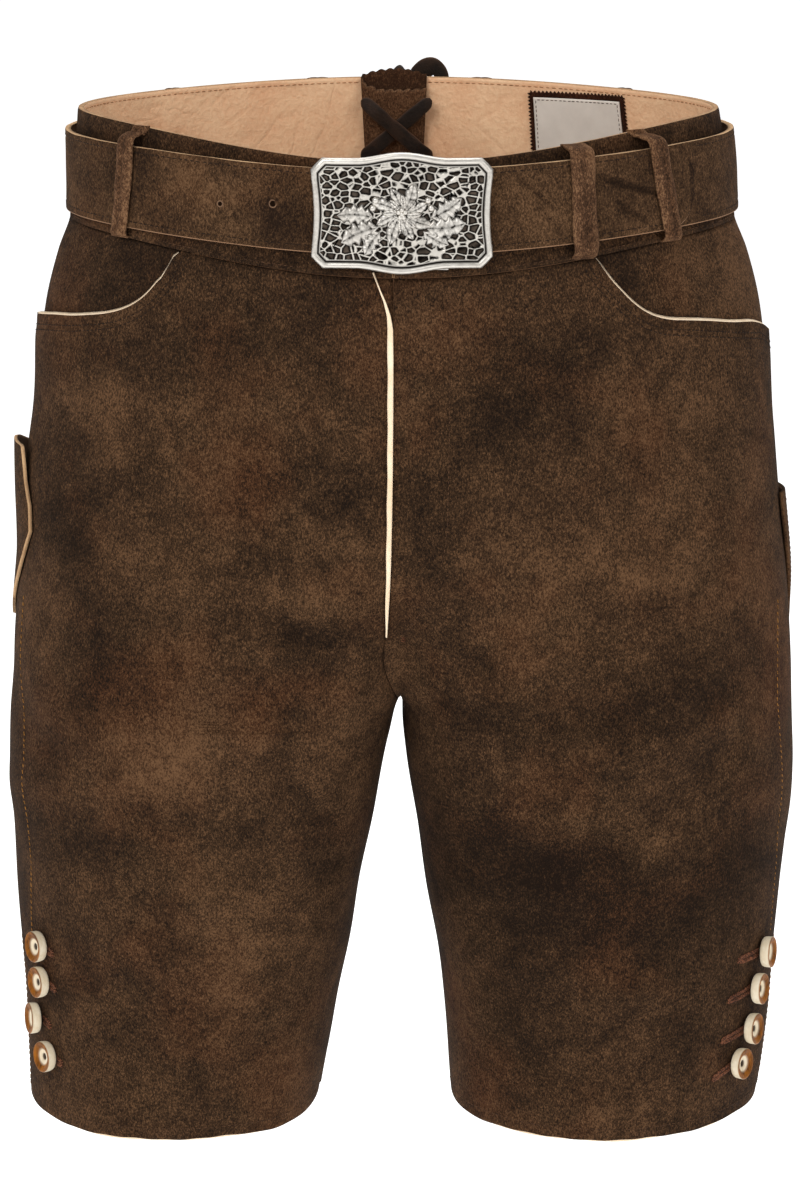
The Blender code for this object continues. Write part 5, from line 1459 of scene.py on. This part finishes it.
# One strip of suede goes across as the far layer, folds at the right and comes back nearer.
share = np.concatenate((np.linspace(1, -1, 49), (-1.035, -1.05, -1.035), np.linspace(-1, 1, 49)))
layer = np.concatenate((np.zeros(49), (0.25, 0.5, 0.75), np.ones(49)))
down = np.linspace(0, 1, 26)[:, None]
scallop = 1.2 * np.abs(np.sin(share * math.pi * 3.5))
far_top = GUSSET_TOP["far"] + scallop + 3.4 * (1 - share ** 2)
near_top = GUSSET_TOP["near"] + scallop + 6.0 * np.maximum(0.0, -share - 0.5)
top = far_top + (near_top - far_top) * layer
z = top + (GUSSET_LOW - top) * down
hollow = gusset_hollow(np.clip(share, -1, 1), down)
depth = -WAISTBAND_WALL - SEAM_GAP - (2 * LEATHER + hollow) * layer
curl = 0.35 * np.sin(share * math.pi * 7) * (1 - down) ** 4 * (layer == 1)
points, normals = skin_round(back_turn(GUSSET_MIDDLE + share * gusset_half(down)), z, depth + curl)
gusset = lay_grid("vent_gusset_suede", points, normals * (0.5 - layer)[:, None])
thicken(gusset, LEATHER, gusset_suede, gusset_suede, lit_loop_suede)
pare(gusset, points.shape[:2], top=0.4)
# The far layer is painted much darker: painted shade in the hollow between the two layers.
keep_values(gusset, "tone", both_layers(-1.4 * (1 - layer) * np.ones(down.shape)))
put_on(gusset, None, "vent_gusset", slot="suede")

LACE_WIDE, LACE_CROSS, LACE_MIDDLE = 8.4, 18.6, (-2.0, -26.0)
LACE_RISE, LACE_END_STEP = 15.5, 1.08


def nearest_gusset(reach):
    """The nearest that the insert comes, round the four places so far out on the crossings."""
    ends = np.array((-reach, reach))[:, None]
    across = LACE_MIDDLE[0] + LACE_CROSS * ends + np.array((-4.0, 4.0))
    height = LACE_MIDDLE[1] + LACE_RISE * ends + np.array((-3.0, 3.0))
    return float(gusset_front(across.reshape(-1, 1), height.reshape(1, -1)).min())


steps = np.linspace(-LACE_END_STEP, LACE_END_STEP, 27)
for name, rise, over in (("lace_cross_under", LACE_RISE, 0.0), ("lace_cross_over", -LACE_RISE, 1.0)):
    path = np.stack((LACE_MIDDLE[0] + LACE_CROSS * steps, LACE_MIDDLE[1] + rise * steps), axis=-1)
    near = np.array([nearest_gusset(max(abs(step), 0.4)) for step in steps])
    step_over = over * (THONG_THICK + SEAM_GAP) * smooth_step(2.3 - 2.2 * np.abs(steps))
    lifts = near - SEAM_GAP - THONG_THICK - step_over
    widths = LACE_WIDE * np.sqrt(np.maximum(1 - np.abs(steps / LACE_END_STEP) ** 10, 0.08))
    piece, _ = lace_strip(name + "_thong", path, lifts, widths, finer=4)
    put_on(piece, lace_leather, name, slot="lace")

# The bow's two loops as (across, height), with the standing one's widths, and its knot.
LOOP_UP = ((6.0, 0.5), (9.5, 3.0), (14.0, 5.0), (18.5, 5.2), (22.0, 3.0), (23.4, -2.0),
           (21.5, -7.2), (17.0, -10.4), (11.5, -9.0), (7.8, -4.4))
LOOP_UP_WIDE = (3.2, 7.0, 10.6, 11.4, 9.0, 7.4, 6.4, 5.4, 4.2, 3.2)
LOOP_DOWN = ((-5.4, 0.0), (-10.5, -2.5), (-16.5, -7.0), (-20.0, -13.0), (-18.5, -18.5),
             (-13.5, -18.5), (-10.0, -14.0), (-8.3, -9.0))
for name, path, widths in (("lace_loop_left", LOOP_UP, LOOP_UP_WIDE), ("lace_loop_right", LOOP_DOWN, 4.4)):
    piece, _ = lace_strip(name + "_thong", path, LACE_OUT, widths)
    put_on(piece, lace_leather, name, slot="lace")
rings = []
spin = 2 * math.pi * np.arange(28) / 28
for grow, depth in ((0.55, 0.0), (0.85, 0.2), (1.0, 0.9), (1.03, 1.8), (1.0, 2.8), (0.85, 3.5),
                    (0.6, 3.8), (0.3, 3.7)):
    fold = 1 + 0.10 * np.sin(spin * 3 + depth) + 0.05 * np.sin(spin * 5)
    across, height = 4.4 * grow * fold * np.cos(spin), 5.0 * grow * fold * np.sin(spin)
    rings.append(skin_round(back_turn(across), 0.5 + height, LACE_OUT + depth)[0])
knot, _ = rings_piece("lace_knot_thong", rings)
shade_round(knot.data)
put_on(knot, lace_leather, "lace_knot", slot="lace")

woven = Finish("label_satin")
ribs = woven.node("ShaderNodeTexWave", {"bands_direction": "Z"}, {
    "Vector": woven.place, "Scale": 520.0, "Distortion": 0.6, "Detail": 1.0})
soft = woven.noise(60.0)
label_satin = woven.surface(
    Base_Color=woven.mix(soft * 0.6 + ribs.out("Fac") * 0.3, rgb(212, 202, 190), rgb(238, 229, 217)),
    Roughness=0.55, Normal=woven.relief(ribs.out("Fac"), 0.12, 0.6))
backing_suede = split_suede("label_backing_suede", rgb(32, 17, 10), rgb(50, 27, 17),
                            rgb(78, 47, 31), rgb(62, 33, 20), nap=0.18)
LABEL_TURN, LABEL_ROUND = math.pi - 0.635, 140.0
LABEL_HALF, LABEL_TOP, LABEL_LOW, LABEL_WALL, BACKING_WALL = 24.5, -8.0, -40.0, 0.8, 1.0
BACKING_OUT = -WAISTBAND_WALL - SEAM_GAP
LABEL_OUT = BACKING_OUT - BACKING_WALL - SEAM_GAP
LABELS = (
    # name, half width, top, foot, depth from the skin, wall, pinking, finish, slot
    ("label_backing", 27.0, -5.0, -43.0, BACKING_OUT, BACKING_WALL, 0.7, backing_suede,
     "label_backing"),
    ("label", LABEL_HALF, LABEL_TOP, LABEL_LOW, LABEL_OUT, LABEL_WALL, 0.0, label_satin,
     "label_cloth"),
)
for name, half_wide, top, low, lift, thick, pinked, finish, slot in LABELS:
    down, across = np.meshgrid(np.linspace(0, 1, 37), np.linspace(-1, 1, 53), indexing="ij")
    zig_z = pinked * np.where(np.arange(53) % 2, 1.0, -1.0)[None, :]
    zig_x = pinked * np.where(np.arange(37) % 2, 1.0, -1.0)[:, None] / half_wide
    rim_z = (down == 0).astype(float) - (down == 1)
    rim_x = (across == 1).astype(float) - (across == -1)
    z = top + (low - top) * down + zig_z * rim_z
    turn = LABEL_TURN + half_wide / LABEL_ROUND * (across + zig_x * rim_x)
    points, normals = skin_round(turn, z, lift + 0.12 * np.sin(across * 9) * np.sin(down * 7))
    piece = lay_grid(name + "_cloth", points, normals)
    thicken(piece, thick, finish)
    keep_values(piece, "tone", 0.0)
    put_on(piece, None, name, slot=slot)
    (top - low) * MM


# ---------------------------------------------------------------- sewing
# Saddle stitches in waxed thread: golden on the side seams, tan on the lining, reddish brown at
# the buttonholes and the fly's foot, and browns elsewhere. Each stitch is a small drawn-in dash.
def waxed_thread(name, low, high):
    """Twisted thread: fine slanting plies with a little wax shine."""
    thread = Finish(name)
    ply = thread.noise(1300.0, 2.0, 0.6)
    soil = thread.noise(120.0, 3.0)
    colour = thread.mix(((ply - 0.5) * 2.4 + soil).clip(), low, high)
    return thread.surface(Base_Color=colour, Roughness=0.8, Specular_IOR_Level=0.15,
                          Normal=thread.relief(ply, 0.12, 0.6))


dark_thread = waxed_thread("dark_thread", rgb(20, 13, 8), rgb(42, 27, 17))
brown_thread = waxed_thread("brown_thread", rgb(50, 33, 21), rgb(88, 61, 41))
gold_thread = waxed_thread("gold_thread", rgb(104, 70, 28), rgb(162, 112, 50))
red_thread = waxed_thread("red_thread", rgb(44, 25, 16), rgb(122, 76, 52))
tan_thread = waxed_thread("tan_thread", rgb(154, 106, 72), rgb(196, 144, 104))

# The model for every stitch is a small sphere drawn out along its first axis.
bpy.ops.object.select_all(action="DESELECT")
bpy.ops.mesh.primitive_uv_sphere_add(segments=6, ring_count=4, radius=1.0)
model = bpy.context.object
x, y, z = np.array([vertex.co[:] for vertex in model.data.vertices]).T
DASH = np.stack((np.sign(z) * np.abs(z) ** 0.7, x, y), axis=-1)
DASH_FACES = [tuple(face.vertices) for face in model.data.polygons]
bpy.data.objects.remove(model, do_unlink=True)
chance = np.random.default_rng(7)


def read_along(marks, runs, table):
    """A table's place or normal at each mark along its run."""
    return np.stack([np.interp(marks, runs, table[:, axis]) for axis in range(3)], axis=-1)


def sew(name, rows, thread, step=3.6, long=2.5, thick=0.75, slant=0.0, sunk=0.05):
    """One piece of many stitches: rows are (points, normals) along each seam."""
    spots, faces = [], []
    for points, normals in rows:
        runs = np.concatenate(([0.0], np.cumsum(np.linalg.norm(np.diff(points, axis=0), axis=1))))
        marks = np.arange(step / 2, runs[-1] - step / 3, step)
        marks = marks + chance.normal(0, 0.05 * step, len(marks))
        place = read_along(marks, runs, points)
        out = unit(read_along(marks, runs, normals))
        along = unit(read_along(marks + 0.5, runs, points) - place)
        beside = unit(np.cross(out, along))
        tilt = slant + chance.normal(0, 0.05, len(marks))[:, None]
        along, beside = (along * np.cos(tilt) + beside * np.sin(tilt),
                         beside * np.cos(tilt) - along * np.sin(tilt))
        size = long * (1 + chance.normal(0, 0.06, len(marks)))
        for at, way, flank, up, length in zip(place, along, beside, out, size):
            first = len(spots) * len(DASH)
            spots.append(at + up * (thick * 0.25 - sunk) + DASH[:, :1] * way * length / 2
                         + DASH[:, 1:2] * flank * thick / 2 + DASH[:, 2:] * up * thick * 0.42)
            faces += [tuple(first + index for index in face) for face in DASH_FACES]
    mesh = bpy.data.meshes.new(name)
    mesh.from_pydata((np.concatenate(spots) * MM).tolist(), [], faces)
    piece = bpy.data.objects.new(name, mesh)
    bpy.context.scene.collection.objects.link(piece)
    shade_round(mesh)
    return put_on(piece, thread, slot="lace")


def on_panel(side, facing, angle, z, out=0.0):
    angle, z = np.broadcast_arrays(np.asarray(angle, float), np.asarray(z, float))
    return skin(side, angle, z, panel_lift(side, facing, angle, z) + out)


# The golden row down each front: heights below the waist and angles round the leg.
GOLD_ROW = {RIGHT: ((268.0, 304.0, 358.0, 418.0, 468.0), (-0.30, -0.36, -0.50, -0.52, -0.46)),
            LEFT: ((268.0, 324.0, 421.0, 468.0), (-0.36, -0.48, -0.40, -0.34))}
GOLD_TOP, GOLD_LOW = -268.0, -468.0
mouth, hems, sides = [], [], []
for side in (RIGHT, LEFT):
    angle, drop = (np.array(values) for values in zip(*SCOOP[side]))
    corners = np.arange(len(angle))
    fine = np.linspace(0, len(angle) - 1.15, 120)
    steep = np.clip(np.gradient(drop) / np.gradient(angle) / WAIST_ROUND, 0.0, 3.0)
    for inset in (7.0, 10.0):
        shift = inset * steep / np.sqrt(1 + steep ** 2)
        fall = inset / np.sqrt(1 + steep ** 2)
        at = np.interp(fine, corners, angle - shift / WAIST_ROUND)
        below = np.interp(fine, corners, scoop_top(side, angle) - fall)
        mouth.append(on_panel(side, FRONT, at, np.minimum(below, waist_seam(at) - 1.5)))
    for facing in (FRONT, BACK):
        inner = facing * (math.pi - 0.05)
        outer = SIDE_SEAM + facing * 0.02
        hems.append(on_panel(side, facing, np.linspace(inner, outer, 200), HEM_Z + 8.0))
    z = np.linspace(GOLD_TOP, GOLD_LOW, 110)
    sides.append(on_panel(side, FRONT, np.interp(-z, *GOLD_ROW[side]), z))
    z = np.linspace(-200.0, GOLD_LOW, 140)
    sides.append(on_panel(side, BACK, SIDE_SEAM + 4.0 / section(side, z)[1], z))
    z = np.linspace(SLIT_TOP - 2.0, HEM_Z + 3.0, 60)
    for facing in (FRONT, BACK):
        sides.append(on_panel(side, facing, SIDE_SEAM + facing * 5.0 / section(side, z)[1], z))
sew("hip_pocket_stitches", mouth, dark_thread, step=3.0, long=2.1, thick=0.6)
sew("hem_stitches", hems, brown_thread, step=3.4, long=2.3, thick=0.55)
sew("side_seam_stitches", sides, gold_thread, step=3.6, long=2.5, thick=0.65, slant=0.45)

turn = np.linspace(-math.pi + 0.05, math.pi - 0.05, 700)
angle = np.abs(turn) - math.pi / 2
sew("waist_seam_stitches", [skin_round(turn, waist_seam(angle) + 2.4, 0.35)], brown_thread, step=3.2,
    long=2.2, thick=0.6)
inside = skin_round(turn, waist_top(angle) - 3.4, -WAISTBAND_WALL)
inside_low = skin_round(turn, waist_seam(angle) + 4.0, -WAISTBAND_WALL)
sew("lining_stitches", [(inside[0], -inside[1]), (inside_low[0], -inside_low[1])], tan_thread,
    step=3.6, long=2.5, thick=0.65)

turn = np.linspace(BELT_TIP - 0.16, BELT_TIP - 2 * math.pi + 0.05, 800)
belt_rows = [skin_round(turn, belt_top(turn) - BELT_HIGH * down, belt_out(turn, down) - 0.25)
             for down in (np.full(800, 0.085), np.full(800, 0.915))]
sew("belt_stitches", belt_rows, dark_thread, step=3.6, long=2.4, thick=0.6)

# The fly's row as (x, height), curving in to a bar of close stitches at its foot.
FLY_STITCH = np.array(((26.0, -80.0), (26.0, -141.0), (25.3, -195.0), (24.3, -218.0),
                       (20.5, -237.0), (14.5, -253.0), (7.0, -266.0), (0.5, -276.0)))
fine = np.linspace(0, len(FLY_STITCH) - 1, 160)
x, z = (read_smoothly(-np.arange(len(FLY_STITCH)), values, -fine) for values in FLY_STITCH.T)
fly_row = on_panel(LEFT, FRONT, front_angle(LEFT, x, z), z)
sew("fly_stitches", [fly_row], brown_thread, step=2.9, long=2.0, thick=0.6)
x = np.maximum(np.linspace(-6.0, 3.5, 12), 0.2)
bars = []
for height in (-276.2, -277.3, -278.4):
    z = np.full(len(x), height)
    points, normals = on_panel(LEFT, FRONT, front_angle(LEFT, x, z), z)
    bars.append((points + np.array((0.0, -0.4, 0.0)), normals))
sew("fly_bartack", bars, red_thread, step=1.5, long=1.7, thick=0.6)
z = np.linspace(-66.0, -322.0, 200)
back_seam = [on_panel(side, BACK, -front_angle(side, 5.0, z), z) for side in (RIGHT, LEFT)]
sew("back_seam_stitches", back_seam, brown_thread, step=3.8, long=2.6)

# The seat pocket's rows: foot, outer side, inner side and mouth, each from (along, down) to.
pocket_rows = []
for start, stop in (((0.03, 0.965), (0.97, 0.965)), ((0.05, 0.0), (0.05, 0.97)),
                    ((0.97, 0.0), (0.97, 0.97)), ((0.0, 0.035), (1.0, 0.035))):
    angle, z = seat_place(*np.linspace(start, stop, 90).T)
    pocket_rows.append(skin(LEFT, angle, z, seat_lift(angle, z)))
sew("pocket_stitches", pocket_rows, brown_thread, step=3.4, long=2.3, thick=0.55, sunk=0.12)

# Buttonholes: a slit bound all round with close stitches set across it.
HOLE_START, HOLE_HALF = 3.0, 1.5
HOLE_REACH_SLOPE = {RIGHT: ((11.5, -0.17),) * 4,
                    LEFT: ((25.0, 0.06), (24.0, -0.06), (23.0, -0.10), (18.5, -0.32))}
holes, slits = [], []
for side in (RIGHT, LEFT):
    for (button_z, button_angle, _), (reach, slope) in zip(BUTTONS[side], HOLE_REACH_SLOPE[side]):
        half = float(section(side, np.array(button_z))[1])
        along = np.linspace(HOLE_START, reach, 30)
        spread = np.sqrt(np.clip(1 - ((along - HOLE_START) / (reach - HOLE_START)) ** 8, 0, 1))
        for edge in (-HOLE_HALF, HOLE_HALF):
            z = button_z + slope * along + edge * spread
            holes.append(on_panel(side, FRONT, button_angle - along / half, z, 0.15))
        along = np.linspace(HOLE_START, reach - 1.0, 20)
        z = button_z + slope * along
        slits.append(on_panel(side, FRONT, button_angle - along / half, z, 0.2))
sew("buttonhole_stitches", holes, red_thread, step=0.8, long=2.9, thick=1.0, slant=math.pi / 2)
sew("buttonhole_slits", slits, dark_thread, step=2.2, long=2.4, thick=0.6)

# The label's rows from (across, down) to, one along each edge.
rim = []
for start, stop in (((-0.95, 0.04), (0.95, 0.04)), ((-0.95, 0.96), (0.95, 0.96)),
                    ((-0.95, 0.04), (-0.95, 0.96)), ((0.95, 0.04), (0.95, 0.96))):
    across, down = np.linspace(start, stop, 60).T
    points, normals = skin_round(LABEL_TURN + LABEL_HALF / LABEL_ROUND * across,
                                 LABEL_TOP + (LABEL_LOW - LABEL_TOP) * down, LABEL_OUT - LABEL_WALL)
    rim.append((points, -normals))
sew("label_stitches", rim, brown_thread, step=2.6, long=1.8, thick=0.5)
